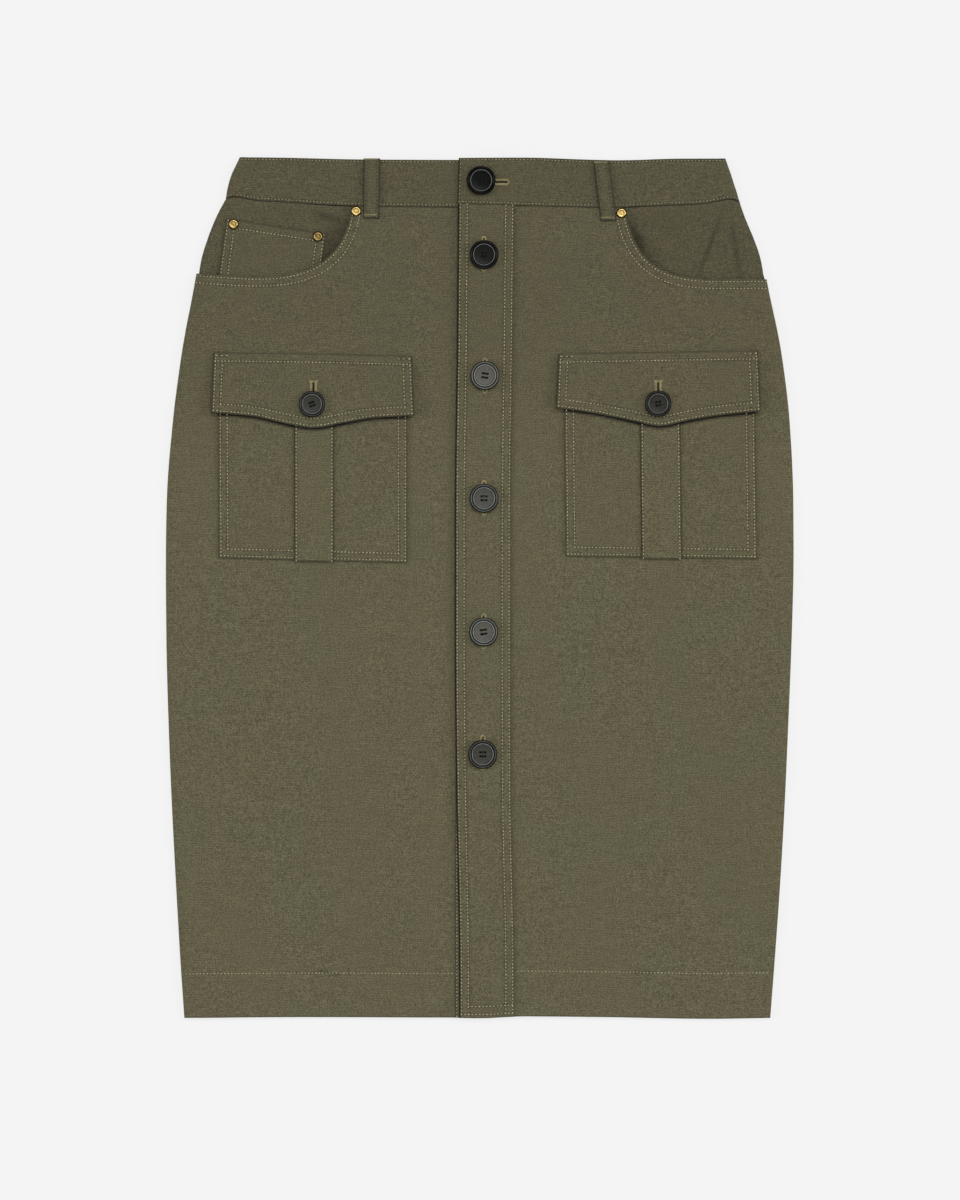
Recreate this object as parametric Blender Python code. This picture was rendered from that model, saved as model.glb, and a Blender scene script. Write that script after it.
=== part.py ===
"""Cargo utility skirt, laid flat on its back panel.

+Z is up off the surface, +Y runs from hem to waist and the front faces up.
Sizes are in millimetres.  A place on the garment is (x, up): x across from
the middle, and up the height above the lowest point of the hem.  Left and
right are as seen from above.  Each piece of cloth is a closed wall, built
from a grid of places, its outer face and its inner face.
"""
import math
from collections import namedtuple

import bmesh
import bpy
from mathutils import Matrix

MM = 0.001
LENGTH = 655.0           # hem to the top of the waistband
WALL = 1.0               # one layer of twill
FOLDED = 1.4             # two layers with interfacing: placket, flaps, loops
BAND = 1.8               # waistband, folded and interfaced
GAP = 0.3                # air between two pieces that touch

# Heights of the undersides of the layers above the surface.
BACK_BAND_UNDER = 0.1
FACING_UNDER = 1.4
FRONT_UNDER = 2.4
STAND_SIDE_UNDER = 1.5   # left front where the button stand lies on it
PLACKET_SIDE_UNDER = 2.8 # right front where the placket laps over it
STAND_UNDER = STAND_SIDE_UNDER + WALL + GAP
PLACKET_UNDER = STAND_UNDER + WALL + GAP
BAND_END_UNDER = 2.0     # the waistband's hidden end under the overlap
OVERLAP_UNDER = 4.2      # the waistband where it laps over that end

SEAM_TIP = 1.9           # height at which front and back meet along the sides
FRONT_ROLL = 8.0         # how far in from the side the front turns down
FACING_ROLL = 10.0
BACK_ROLL = 5.0
ROLL_STEPS = 4
BACK_WIDTH = 450.0       # widths that space the columns round the rolled sides
BACK_BAND_WIDTH = 380.0
FRONT_WIDTH = 212.0
BAND_WIDTH = 210.0
FACING_WIDTH = 110.0
PANEL_ROWS = 18
ROW_CROWDING = 1.35      # the rows stand closer together towards the waist

LONG_SWELL = 0.22        # soft swells of the front along and across it
CROSS_SWELL = 0.16
SWELL_ENDS = (540.0, 605.0)              # the swells die out between these heights
LEFT_CENTRE = (-47.0, -23.0)             # across these the left front sinks under the
RIGHT_CENTRE = (30.0, 56.0)              # stand, and the right front rises under the
OVERLAP_STEP = (1.0, 31.0)               # placket and the waistband over its hidden end

LEFT, RIGHT = -1, 1
MOUTH_LIFT = {LEFT: 1.6, RIGHT: 1.4}     # how far the hip pockets stand open
MOUTH_NEAR, MOUTH_FAR = 12.0, 50.0       # the lift dies out between these
MOUTH_PIN = (598.0, 616.0)               # and is pinned down towards the waist seam,
MOUTH_PINNED = 0.22                      # where this share of it is left
FACING_LAP = 11.0                        # facing hidden below the pocket mouth
FACING_SPLIT = 0.55                      # share of its lower curve that faces the hem
HIDDEN_SIDE = (546.0, 565.0)             # the back moves in under the facing here

PLACKET_LAP = 9.0        # right front hidden under the placket
LEFT_FRONT_END = -9.0
STAND_END = 14.0
BAND_END = 16.5

BUTTON_DIAMETER = 22.0
POCKET_BUTTON_DIAMETER = 20.0
BUTTON_HEIGHT = 3.0
HOLE_DIAMETER = 1.7
HOLE_SPACING = 3.2
RIVET_DIAMETER = 7.8
RIVET_HEIGHT = 1.3
BUTTON_STEPS = 20
RIVET_STEPS = 16
HOLE_STEPS = 8
SEAT_STEPS = 12

SideRow = namedtuple("SideRow", "up left right")
SKIRT_SIDES = (
    SideRow(0.0, -224.6, 220.9),
    SideRow(45.0, -227.7, 224.4),
    SideRow(106.0, -231.2, 228.7),
    SideRow(166.0, -234.3, 232.1),
    SideRow(227.0, -236.7, 234.8),
    SideRow(288.0, -238.3, 237.2),
    SideRow(349.0, -238.7, 238.7),
    SideRow(394.0, -238.0, 238.5),
    SideRow(455.0, -233.3, 235.6),
    SideRow(486.0, -229.5, 232.3),
    SideRow(516.0, -225.0, 227.8),
    SideRow(546.0, -219.2, 221.4),
    SideRow(567.0, -215.4, 217.2),
)
HIP_SIDES = (
    SideRow(545.0, -213.9, 216.4),
    SideRow(563.0, -213.7, 215.9),
    SideRow(568.0, -213.3, 215.4),
    SideRow(580.0, -211.1, 213.0),
    SideRow(592.0, -207.2, 208.8),
    SideRow(610.0, -200.2, 201.4),
    SideRow(624.0, -192.6, 196.6),
)
BAND_SIDES = (
    SideRow(623.4, -193.2, 197.3),
    SideRow(632.5, -191.6, 194.1),
    SideRow(641.8, -188.8, 191.2),
    SideRow(648.8, -185.5, 188.7),
    SideRow(654.8, -182.5, 186.6),
)

EdgeRow = namedtuple("EdgeRow", "x up")
WAIST_SEAM = {
    LEFT: (
        EdgeRow(-193.2, 624.2),
        EdgeRow(-188.0, 625.4),
        EdgeRow(-171.5, 622.6),
        EdgeRow(-142.7, 620.8),
        EdgeRow(-111.1, 618.7),
        EdgeRow(-84.0, 617.9),
        EdgeRow(-17.5, 617.2),
        EdgeRow(BAND_END, 617.2),
    ),
    RIGHT: (
        EdgeRow(-17.2, 619.6),
        EdgeRow(37.5, 618.1),
        EdgeRow(98.0, 617.0),
        EdgeRow(140.0, 618.5),
        EdgeRow(169.5, 619.8),
        EdgeRow(190.8, 623.4),
        EdgeRow(197.3, 622.3),
    ),
}
WAIST_TOP = {
    LEFT: (
        EdgeRow(-182.5, LENGTH),
        EdgeRow(-151.8, 654.7),
        EdgeRow(-91.0, 653.3),
        EdgeRow(-22.0, 653.0),
        EdgeRow(BAND_END, 653.0),
    ),
    RIGHT: (
        EdgeRow(-15.9, 654.3),
        EdgeRow(38.0, 654.6),
        EdgeRow(76.0, 653.4),
        EdgeRow(106.6, 652.7),
        EdgeRow(150.0, 653.9),
        EdgeRow(186.6, 654.0),
    ),
}
BACK_SEAM_UP = 621.6     # waist seam of the back at the sides
BACK_SEAM_SAG = 4.6      # and how much lower it runs in the middle
HEM = (
    EdgeRow(-225.0, 0.7),
    EdgeRow(-140.0, 1.3),
    EdgeRow(-20.0, 0.9),
    EdgeRow(0.0, 0.6),
    EdgeRow(31.0, 1.9),
    EdgeRow(91.0, 1.4),
    EdgeRow(175.0, 0.0),
    EdgeRow(221.0, 0.7),
)
BACK_INSET = 1.3         # the back stops short of the front at hem and waist

# Pocket mouths: cubic curves from the side seam to the waist seam.
Mouth = namedtuple("Mouth", "side_up pull_low pull_high waist_x")
MOUTHS = {
    LEFT: Mouth(566.5, (-166.8, 563.4), (-104.8, 552.3), -97.1),
    RIGHT: Mouth(562.2, (165.0, 563.2), (119.7, 551.9), 110.0),
}

PlacketRow = namedtuple("PlacketRow", "up left right stand_left")
PLACKET = (
    PlacketRow(0.0, -15.7, 26.8, -18.7),
    PlacketRow(34.0, -15.7, 26.8, -18.7),
    PlacketRow(182.0, -18.0, 24.3, -18.6),
    PlacketRow(288.0, -18.9, 24.1, -18.0),
    PlacketRow(380.0, -18.9, 24.1, -17.2),
    PlacketRow(516.0, -17.3, 25.7, -16.2),
    PlacketRow(619.0, -16.5, 26.8, -15.4),
)

Corners = namedtuple("Corners", "bottom_outer bottom_inner top_outer top_inner")
POCKETS = {
    LEFT: Corners((-198.4, 350.4), (-54.8, 346.6), (-199.1, 491.7), (-54.8, 491.7)),
    RIGHT: Corners((210.9, 349.6), (65.2, 351.6), (209.2, 491.7), (63.8, 491.7)),
}
STRIPS = {
    LEFT: Corners((-141.0, 348.0), (-110.5, 347.4), (-141.1, 491.2), (-110.5, 491.2)),
    RIGHT: Corners((153.9, 349.4), (122.7, 349.9), (152.2, 491.2), (121.3, 491.2)),
}
COIN_POCKET = Corners((-197.3, 557.0), (-121.6, 560.0), (-191.1, 608.1), (-116.6, 596.5))

FlapRow = namedtuple("FlapRow", "x top bottom")
FLAPS = {
    LEFT: (
        FlapRow(-203.1, 506.5, 460.6),
        FlapRow(-171.7, 506.1, 457.8),
        FlapRow(-147.4, 505.8, 452.3),
        FlapRow(-126.0, 505.4, 449.0),
        FlapRow(-103.9, 505.0, 452.7),
        FlapRow(-80.8, 504.4, 456.6),
        FlapRow(-50.5, 503.7, 458.2),
    ),
    RIGHT: (
        FlapRow(58.9, 505.5, 464.2),
        FlapRow(88.2, 506.0, 460.0),
        FlapRow(118.6, 506.5, 453.8),
        FlapRow(136.6, 506.8, 450.3),
        FlapRow(154.9, 507.1, 453.9),
        FlapRow(179.1, 507.5, 458.2),
        FlapRow(212.6, 508.1, 461.7),
    ),
}
FLAP_SLANT = 1.9         # how much wider a flap is at the bottom, each end
FLAP_RISE = (1.0, 10.0)  # below its top seam the flap climbs onto the pocket
FLAP_CORNER = 30.0       # the outer corners stand off, over this width
FLAP_CORNER_LIFT = 0.9
STRIP_CLEAR = (19.0, 34.0)               # the flap comes down beside the strip here
FLAP_END_COLUMN = 16.0
FLAP_COLUMNS = (-34.0, -26.0, -18.0, -9.0, 0.0, 9.0, 18.0, 26.0, 34.0)
FLAP_ROWS = (0.0, 0.2, 0.4, 0.6, 0.78, 0.88, 0.95, 1.0)

Loop = namedtuple("Loop", "top_x top_up bottom_x bottom_up width")
BELT_LOOPS = {
    LEFT: Loop(-81.9, 653.9, -82.4, 608.4, 12.6),
    RIGHT: Loop(92.3, 651.6, 98.0, 606.5, 12.2),
}
LOOP_ARCH = 0.9          # how far a belt loop stands off the waistband
LoopRow = namedtuple("LoopRow", "share arch")
LOOP_OVER_BAND = (
    LoopRow(0.14, 0.8),
    LoopRow(0.50, 1.0),
    LoopRow(0.89, 0.5),
    LoopRow(1.0, 0.0),
)
LOOP_STEP = (6.0, 0.5)   # below the waist seam the loop steps up onto the band

Spot = namedtuple("Spot", "name x up")
FRONT_BUTTONS = (
    Spot("button_front_1", 3.3, 580.6),
    Spot("button_front_2", 4.0, 488.8),
    Spot("button_front_3", 3.3, 395.6),
    Spot("button_front_4", 3.0, 294.2),
    Spot("button_front_5", 2.3, 201.3),
)
WAIST_BUTTON = Spot("button_waist", 1.1, 636.9)
POCKET_BUTTONS = {
    LEFT: Spot("button_pocket_left", -127.2, 467.0),
    RIGHT: Spot("button_pocket_right", 135.4, 467.3),
}
HIP_RIVETS = {
    LEFT: Spot("rivet_hip_left", -94.0, 613.8),
    RIGHT: Spot("rivet_hip_right", 107.7, 612.4),
}
COIN_RIVETS = (
    Spot("rivet_coin_outer", -187.1, 604.0),
    Spot("rivet_coin_inner", -123.0, 594.6),
)

ProfileRow = namedtuple("ProfileRow", "radius height")
BUTTON_PROFILE = (
    ProfileRow(0.80, 0.0),
    ProfileRow(0.99, 0.30),
    ProfileRow(1.0, 0.62),
    ProfileRow(0.93, 1.0),
    ProfileRow(0.80, 0.96),
    ProfileRow(0.73, 0.74),
    ProfileRow(0.36, 0.66),
)
RIVET_PROFILE = (
    ProfileRow(0.96, 0.0),
    ProfileRow(1.0, 0.35),
    ProfileRow(0.90, 0.72),
    ProfileRow(0.55, 1.0),
)

Finish = namedtuple("Finish", "name colour roughness metallic")
TWILL = Finish("olive_cotton_twill", (0.121, 0.108, 0.063, 1.0), 0.9, 0.0)
BUTTON_RESIN = Finish("black_button_resin", (0.024, 0.026, 0.028, 1.0), 0.35, 0.0)
BRASS = Finish("rivet_brass", (0.60, 0.42, 0.14, 1.0), 0.3, 1.0)


# ---------------------------------------------------------------- curves

def mix(a, b, share):
    return a + (b - a) * share


def ease(low, high, at):
    """0 below low, 1 above high, and a smooth step between them."""
    share = min(max((at - low) / (high - low), 0.0), 1.0)
    return share * share * (3.0 - 2.0 * share)


def smooth_line(knots, values):
    """A smooth function through (knot, value) pairs with rising knots."""
    steps = [b - a for a, b in zip(knots, knots[1:])]
    rises = [(b - a) / step for a, b, step in zip(values, values[1:], steps)]
    slopes = [rises[0]]
    for before, after in zip(rises, rises[1:]):
        slopes.append(0.0 if before * after <= 0.0 else 2.0 * before * after / (before + after))
    slopes.append(rises[-1])

    def line(at):
        i = 0
        while i < len(steps) - 1 and at > knots[i + 1]:
            i += 1
        t = min(max((at - knots[i]) / steps[i], 0.0), 1.0)
        start = values[i] + t * t * (3.0 - 2.0 * t) * (values[i + 1] - values[i])
        bend = t * (1.0 - t) * steps[i] * ((1.0 - t) * slopes[i] - t * slopes[i + 1])
        return start + bend

    return line


def column_line(rows, key, value):
    """A smooth function from one named column of a table to another."""
    return smooth_line([getattr(r, key) for r in rows], [getattr(r, value) for r in rows])


def side_lines(rows):
    return {
        LEFT: column_line(rows, "up", "left"),
        RIGHT: column_line(rows, "up", "right"),
    }


def bezier(start, pull_1, pull_2, end, t):
    """A point of a cubic curve."""
    weights = ((1 - t) ** 3, 3 * t * (1 - t) ** 2, 3 * t * t * (1 - t), t ** 3)
    points = (start, pull_1, pull_2, end)
    return tuple(sum(w * p[axis] for w, p in zip(weights, points)) for axis in (0, 1))


skirt_side = side_lines(SKIRT_SIDES)
hip_side = side_lines(HIP_SIDES)
band_side = side_lines(BAND_SIDES)
waist_seam = {side: column_line(rows, "x", "up") for side, rows in WAIST_SEAM.items()}
waist_top = {side: column_line(rows, "x", "up") for side, rows in WAIST_TOP.items()}
hem = column_line(HEM, "x", "up")
placket_left = column_line(PLACKET, "up", "left")
placket_right = column_line(PLACKET, "up", "right")
stand_left = column_line(PLACKET, "up", "stand_left")
flap_top = {side: column_line(rows, "x", "top") for side, rows in FLAPS.items()}
flap_bottom = {side: column_line(rows, "x", "bottom") for side, rows in FLAPS.items()}


def back_side(side, up):
    """The back's side edge: hidden under the facing above, under the front below."""
    return mix(skirt_side[side](up), hip_side[side](up), ease(*HIDDEN_SIDE, up))


def mouth_point(side, t, spread=0.0):
    """A point of the pocket mouth; spread moves the curve down and inwards."""
    mouth = MOUTHS[side]
    start_up = mouth.side_up - spread
    edge = skirt_side[side] if spread == 0.0 else hip_side[side]
    start = (edge(start_up), start_up)
    pull_low = (mouth.pull_low[0], mouth.pull_low[1] - spread)
    pull_high = (mouth.pull_high[0] - side * spread, mouth.pull_high[1] - spread)
    end_x = mouth.waist_x - side * spread
    end = (end_x, waist_seam[side](end_x) - GAP)
    return bezier(start, pull_low, pull_high, end, t)


MOUTH_SAMPLES = {
    side: [mouth_point(side, k / 24) for k in range(25)] for side in (LEFT, RIGHT)
}


# ---------------------------------------------------------------- heights

def lie(x, up):
    """Soft swells of the front, which die out towards the waist."""
    long_swell = 1.0 + math.sin(x / 47.0 + up / 120.0 + 0.6)
    cross_swell = 1.0 + math.sin(up / 78.0 - x / 160.0)
    swell = LONG_SWELL * long_swell + CROSS_SWELL * cross_swell
    return swell * (1.0 - ease(*SWELL_ENDS, up))


def mouth_lift(side, x, up):
    """How far the front stands off round the pocket mouth."""
    away = min(math.hypot(x - px, up - py) for px, py in MOUTH_SAMPLES[side])
    pinned = mix(1.0, MOUTH_PINNED, ease(*MOUTH_PIN, up))
    return MOUTH_LIFT[side] * (1.0 - ease(MOUTH_NEAR, MOUTH_FAR, away)) * pinned


def front_under(side, x, up):
    """The underside of a front panel."""
    if side == LEFT:
        centre = ease(*LEFT_CENTRE, x)
        level = mix(FRONT_UNDER, STAND_SIDE_UNDER, centre)
    else:
        centre = 1.0 - ease(*RIGHT_CENTRE, x)
        level = mix(FRONT_UNDER, PLACKET_SIDE_UNDER, centre)
    return level + mouth_lift(side, x, up) * (1.0 - centre) + lie(x, up)


def front_top(side, x, up):
    return front_under(side, x, up) + WALL


def band_under(side, x):
    """The underside of a front waistband piece."""
    if side == LEFT:
        return mix(FRONT_UNDER, BAND_END_UNDER, ease(*LEFT_CENTRE, x))
    return mix(OVERLAP_UNDER, FRONT_UNDER, ease(*OVERLAP_STEP, x - BAND_END))


def strip_centre(side, up):
    strip = STRIPS[side]
    share = (up - strip.bottom_outer[1]) / (strip.top_outer[1] - strip.bottom_outer[1])
    bottom = (strip.bottom_outer[0] + strip.bottom_inner[0]) / 2.0
    top = (strip.top_outer[0] + strip.top_inner[0]) / 2.0
    return mix(bottom, top, share)


def flap_under(side, x, up):
    """The underside of a pocket flap: on the front at its seam, then on the pocket."""
    top = flap_top[side](x)
    climb = ease(*FLAP_RISE, top - up)
    on_strip = 1.0 - ease(*STRIP_CLEAR, abs(x - strip_centre(side, up)))
    ends = [row.x for row in FLAPS[side]]
    to_end = min(abs(x - ends[0]), abs(x - ends[-1]))
    drop = (top - up) / (top - flap_bottom[side](x))
    corner = FLAP_CORNER_LIFT * (1.0 - ease(0.0, FLAP_CORNER, to_end)) * ease(0.4, 1.0, drop)
    layers = (1.0 + on_strip) * (WALL + GAP)
    return front_top(side, x, up) + GAP + climb * layers + corner


# ---------------------------------------------------------------- grids

def patch(bottom, top, left, right, across, along):
    """A grid of places between four edge curves, each a function of 0 to 1."""
    low_left, low_right = bottom(0.0), bottom(1.0)
    high_left, high_right = top(0.0), top(1.0)
    rows = []
    for t in along:
        row = []
        for s in across:
            place = []
            for axis in (0, 1):
                ruled = mix(bottom(s)[axis], top(s)[axis], t)
                ruled += mix(left(t)[axis], right(t)[axis], s)
                low = mix(low_left[axis], low_right[axis], s)
                high = mix(high_left[axis], high_right[axis], s)
                place.append(ruled - mix(low, high, t))
            row.append(tuple(place))
        rows.append(row)
    return rows


def straight(start, end):
    """A straight edge from one place to another."""
    return lambda t: (mix(start[0], end[0], t), mix(start[1], end[1], t))


def even(count):
    return [k / count for k in range(count + 1)]


def panel_rows():
    """Shares of a panel's height that crowd together towards the waist."""
    below = [1.0 - (1.0 - k / PANEL_ROWS) ** ROW_CROWDING for k in range(PANEL_ROWS)]
    return below + [1.0]


def roll_shares(radius, width):
    """Shares of a width at even angles round a rolled edge."""
    turns = [math.pi / 2 * k / ROLL_STEPS for k in range(ROLL_STEPS + 1)]
    return [radius * (1.0 - math.cos(turn)) / width for turn in turns]


def roll_in(side_edge, side, place, radius, tip, outer_z, inner_z, wall):
    """Outer and inner points of a wall whose side edge turns to a tip height."""
    x, up = place
    edge = side_edge(up)
    depth = (edge - x) * side
    if depth >= radius:
        return (x, up, outer_z), (x, up, inner_z)
    share = max(depth / radius, 0.0)
    turn = math.sqrt(max(1.0 - (1.0 - share) ** 2, 0.0))
    inner_x = edge - side * (wall + (radius - wall) * share)
    outer = (x, up, mix(tip, outer_z, turn))
    inner = (inner_x, up, mix(tip, inner_z, turn))
    return outer, inner


# ---------------------------------------------------------------- bodies

def material(finish):
    made = bpy.data.materials.get(finish.name)
    if made:
        return made
    made = bpy.data.materials.new(finish.name)
    made.use_nodes = True
    shader = made.node_tree.nodes["Principled BSDF"]
    shader.inputs["Base Color"].default_value = finish.colour
    shader.inputs["Roughness"].default_value = finish.roughness
    shader.inputs["Metallic"].default_value = finish.metallic
    return made


def add_object(name, mesh, finish):
    made = bpy.data.objects.new(name, mesh)
    bpy.context.scene.collection.objects.link(made)
    if not mesh.materials:
        mesh.materials.append(material(finish))
    return made


def world(point):
    x, up, z = point
    return (x * MM, (up - LENGTH / 2.0) * MM, z * MM)


def wall_body(name, outer, inner, finish=TWILL):
    """A closed wall between two grids of points of the same size."""
    rows, columns = len(outer), len(outer[0])
    mesh_work = bmesh.new()
    faces = []
    for grid in (outer, inner):
        faces.append([[mesh_work.verts.new(world(p)) for p in row] for row in grid])
    top, under = faces
    for i in range(rows - 1):
        for j in range(columns - 1):
            for sheet in (top, under):
                corner = (sheet[i][j], sheet[i][j + 1], sheet[i + 1][j + 1], sheet[i + 1][j])
                mesh_work.faces.new(corner)
    rim = [(0, j) for j in range(columns)]
    rim += [(i, columns - 1) for i in range(1, rows)]
    rim += [(rows - 1, j) for j in range(columns - 2, -1, -1)]
    rim += [(i, 0) for i in range(rows - 2, 0, -1)]
    for (i, j), (k, m) in zip(rim, rim[1:] + rim[:1]):
        mesh_work.faces.new((top[i][j], under[i][j], under[k][m], top[k][m]))
    bmesh.ops.recalc_face_normals(mesh_work, faces=mesh_work.faces)
    mesh = bpy.data.meshes.new(name)
    mesh_work.to_mesh(mesh)
    mesh_work.free()
    mesh.shade_smooth()
    mesh.set_sharp_from_angle(angle=math.radians(40.0))
    return add_object(name, mesh, finish)


def flat_cloth(name, places, under, thickness=WALL):
    """A wall of even thickness over a grid, its underside at a height function."""
    inner = [[(x, up, under(x, up)) for x, up in row] for row in places]
    outer = [[(x, up, z + thickness) for x, up, z in row] for row in inner]
    return wall_body(name, outer, inner)


def rolled_cloth(name, places, heights, edges, radius, tip, wall):
    """A wall whose side edges turn; heights gives outer and inner at a place."""
    outer, inner = [], []
    for row in places:
        outer.append([])
        inner.append([])
        for x, up in row:
            outer_z, inner_z = heights(x, up)
            side = min(edges, key=lambda s: abs(edges[s](up) - x))
            pair = roll_in(edges[side], side, (x, up), radius, tip, outer_z, inner_z, wall)
            outer[-1].append(pair[0])
            inner[-1].append(pair[1])
    return wall_body(name, outer, inner)


# ---------------------------------------------------------------- the back

def both_sides(radius, width, middle):
    """Shares across a piece that rolls at both sides."""
    left = roll_shares(radius, width)
    gap = 1.0 - 2.0 * left[-1]
    between = [left[-1] + gap * k / (middle + 1) for k in range(1, middle + 1)]
    return left + between + [1.0 - share for share in reversed(left)]


def back_seam(share):
    return BACK_SEAM_UP - BACK_SEAM_SAG * (1.0 - (2.0 * share - 1.0) ** 2)


def edge_curve(edge, low, high):
    """A side edge as a curve from one height to another."""
    return lambda t: (edge(mix(low, high, t)), mix(low, high, t))


def back_panel():
    """The back lies on the surface and rolls up at both side seams."""
    edges = {side: (lambda up, s=side: back_side(s, up)) for side in (LEFT, RIGHT)}
    ends = {side: hem(edges[side](0.0)) + BACK_INSET for side in edges}
    left = edge_curve(edges[LEFT], ends[LEFT], BACK_SEAM_UP)
    right = edge_curve(edges[RIGHT], ends[RIGHT], BACK_SEAM_UP)

    def bottom(s):
        x = mix(left(0.0)[0], right(0.0)[0], s)
        return x, hem(x) + BACK_INSET

    def top(s):
        return mix(left(1.0)[0], right(1.0)[0], s), back_seam(s)

    across = both_sides(BACK_ROLL, BACK_WIDTH, 5)
    places = patch(bottom, top, left, right, across, panel_rows())
    rolled_cloth("back_panel", places, lambda x, up: (0.0, WALL), edges,
                 BACK_ROLL, SEAM_TIP - GAP / 2.0, WALL)


def waistband_back():
    """The back waistband, held just off the surface by the back panel's seam."""
    low = BACK_SEAM_UP + GAP
    left = edge_curve(band_side[LEFT], low, WAIST_TOP[LEFT][0].up - BACK_INSET)
    right = edge_curve(band_side[RIGHT], low, WAIST_TOP[RIGHT][-1].up - BACK_INSET)

    def bottom(s):
        return mix(left(0.0)[0], right(0.0)[0], s), back_seam(s) + GAP

    def top(s):
        x = mix(left(1.0)[0], right(1.0)[0], s)
        front = waist_top[LEFT](x) if x < 0.0 else waist_top[RIGHT](x)
        return x, front - BACK_INSET

    def heights(x, up):
        return BACK_BAND_UNDER, BACK_BAND_UNDER + WALL

    across = both_sides(BACK_ROLL, BACK_BAND_WIDTH, 5)
    places = patch(bottom, top, left, right, across, even(5))
    rolled_cloth("waistband_back", places, heights, band_side,
                 BACK_ROLL, SEAM_TIP - GAP / 2.0, WALL)


# ---------------------------------------------------------------- hip pockets

def hip_facing(side, name):
    """The cloth seen inside the pocket mouth, cut like the hip it completes."""
    low = MOUTHS[side].side_up - FACING_LAP
    high = waist_seam[side](hip_side[side](BACK_SEAM_UP)) - GAP
    outer_edge = edge_curve(hip_side[side], low, high)
    end_x = MOUTHS[side].waist_x - side * FACING_LAP

    def bottom(s):
        return mouth_point(side, s * FACING_SPLIT, FACING_LAP)

    def inner_edge(t):
        return mouth_point(side, mix(FACING_SPLIT, 1.0, t), FACING_LAP)

    def top(s):
        x = mix(outer_edge(1.0)[0], end_x, s)
        return x, waist_seam[side](x) - GAP

    def heights(x, up):
        return FACING_UNDER + WALL, FACING_UNDER

    rolled = roll_shares(FACING_ROLL, FACING_WIDTH)
    across = rolled + [mix(rolled[-1], 1.0, k / 7) for k in range(1, 8)]
    places = patch(bottom, top, outer_edge, inner_edge, across, even(7))
    rolled_cloth(name, places, heights, {side: hip_side[side]}, FACING_ROLL,
                 SEAM_TIP + GAP / 2.0, WALL)


def corner_patch(corners, across, along):
    """A grid inside four corners."""
    bottom = straight(corners.bottom_outer, corners.bottom_inner)
    top = straight(corners.top_outer, corners.top_inner)
    left = straight(corners.bottom_outer, corners.top_outer)
    right = straight(corners.bottom_inner, corners.top_inner)
    return patch(bottom, top, left, right, across, along)


def coin_pocket():
    """A small patch pocket on the left facing, seen inside the pocket mouth."""
    places = corner_patch(COIN_POCKET, even(4), even(4))
    flat_cloth("coin_pocket", places, lambda x, up: FACING_UNDER + WALL + GAP)


# ---------------------------------------------------------------- fronts

def front_panel(side, name):
    """A front panel: side seam, pocket mouth, waist seam and centre edge."""
    mouth = MOUTHS[side]
    side_low = hem(skirt_side[side](0.0))
    outer_edge = edge_curve(skirt_side[side], side_low, mouth.side_up)

    def centre_x(up):
        if side == LEFT:
            return LEFT_FRONT_END
        return placket_right(up) - PLACKET_LAP

    waist_end = centre_x(LENGTH)
    mouth_share = (mouth.waist_x - outer_edge(1.0)[0]) / (waist_end - outer_edge(1.0)[0])

    def bottom(s):
        x = mix(outer_edge(0.0)[0], centre_x(0.0), s)
        return x, hem(x)

    def top(s):
        if s <= mouth_share:
            return mouth_point(side, s / mouth_share)
        x = mix(mouth.waist_x, waist_end, (s - mouth_share) / (1.0 - mouth_share))
        return x, waist_seam[side](x) - GAP

    def centre_edge(t):
        up = mix(hem(centre_x(0.0)), top(1.0)[1], t)
        return centre_x(up), up

    def heights(x, up):
        return front_top(side, x, up), front_under(side, x, up)

    across = roll_shares(FRONT_ROLL, FRONT_WIDTH)
    across += [mix(across[-1], mouth_share, k / 10) for k in range(1, 11)]
    across += [mix(mouth_share, 1.0, k / 7) for k in range(1, 8)]
    places = patch(bottom, top, outer_edge, centre_edge, across, panel_rows())
    rolled_cloth(name, places, heights, {side: skirt_side[side]}, FRONT_ROLL,
                 SEAM_TIP + GAP / 2.0, WALL)


def upright(left, right, low, high, across, along):
    """A grid between two edge functions of height."""
    rows = []
    for t in along:
        row = []
        for s in across:
            x = mix(left(mix(low(0.0), high(0.0), t)), right(mix(low(0.0), high(0.0), t)), s)
            row.append((x, mix(low(x), high(x), t)))
        rows.append(row)
    return rows


def centre_front():
    """The button stand and, over it, the placket."""
    stand = upright(stand_left, lambda up: STAND_END, hem,
                    lambda x: waist_seam[LEFT](x) - GAP, even(3), even(14))
    flat_cloth("button_stand", stand, lambda x, up: STAND_UNDER + lie(x, up))
    placket = upright(placket_left, placket_right, hem,
                      lambda x: waist_seam[RIGHT](x) - GAP, even(4), even(16))
    flat_cloth("placket", placket, placket_under, FOLDED)


def placket_under(x, up):
    return PLACKET_UNDER + lie(x, up)


# ---------------------------------------------------------------- waistband

def waistband_front(side, name):
    """A front waistband piece, from the side seam to its end at the middle."""
    seam, top_line = waist_seam[side], waist_top[side]
    ends = slice(None) if side == LEFT else slice(None, None, -1)
    outer_low, *_, centre_low = WAIST_SEAM[side][ends]
    outer_high, *_, centre_high = WAIST_TOP[side][ends]
    outer_edge = edge_curve(band_side[side], outer_low.up, outer_high.up)

    def bottom(s):
        x = mix(outer_edge(0.0)[0], centre_low.x, s)
        return x, seam(x)

    def top(s):
        x = mix(outer_edge(1.0)[0], centre_high.x, s)
        return x, top_line(x)

    def heights(x, up):
        return band_under(side, x) + BAND, band_under(side, x)

    inner_edge = straight(bottom(1.0), top(1.0))
    rolled = roll_shares(FRONT_ROLL, BAND_WIDTH)
    across = rolled + [mix(rolled[-1], 1.0, k / 13) for k in range(1, 14)]
    places = patch(bottom, top, outer_edge, inner_edge, across, even(5))
    rolled_cloth(name, places, heights, {side: band_side[side]}, FRONT_ROLL,
                 SEAM_TIP + GAP / 2.0, BAND)


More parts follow.
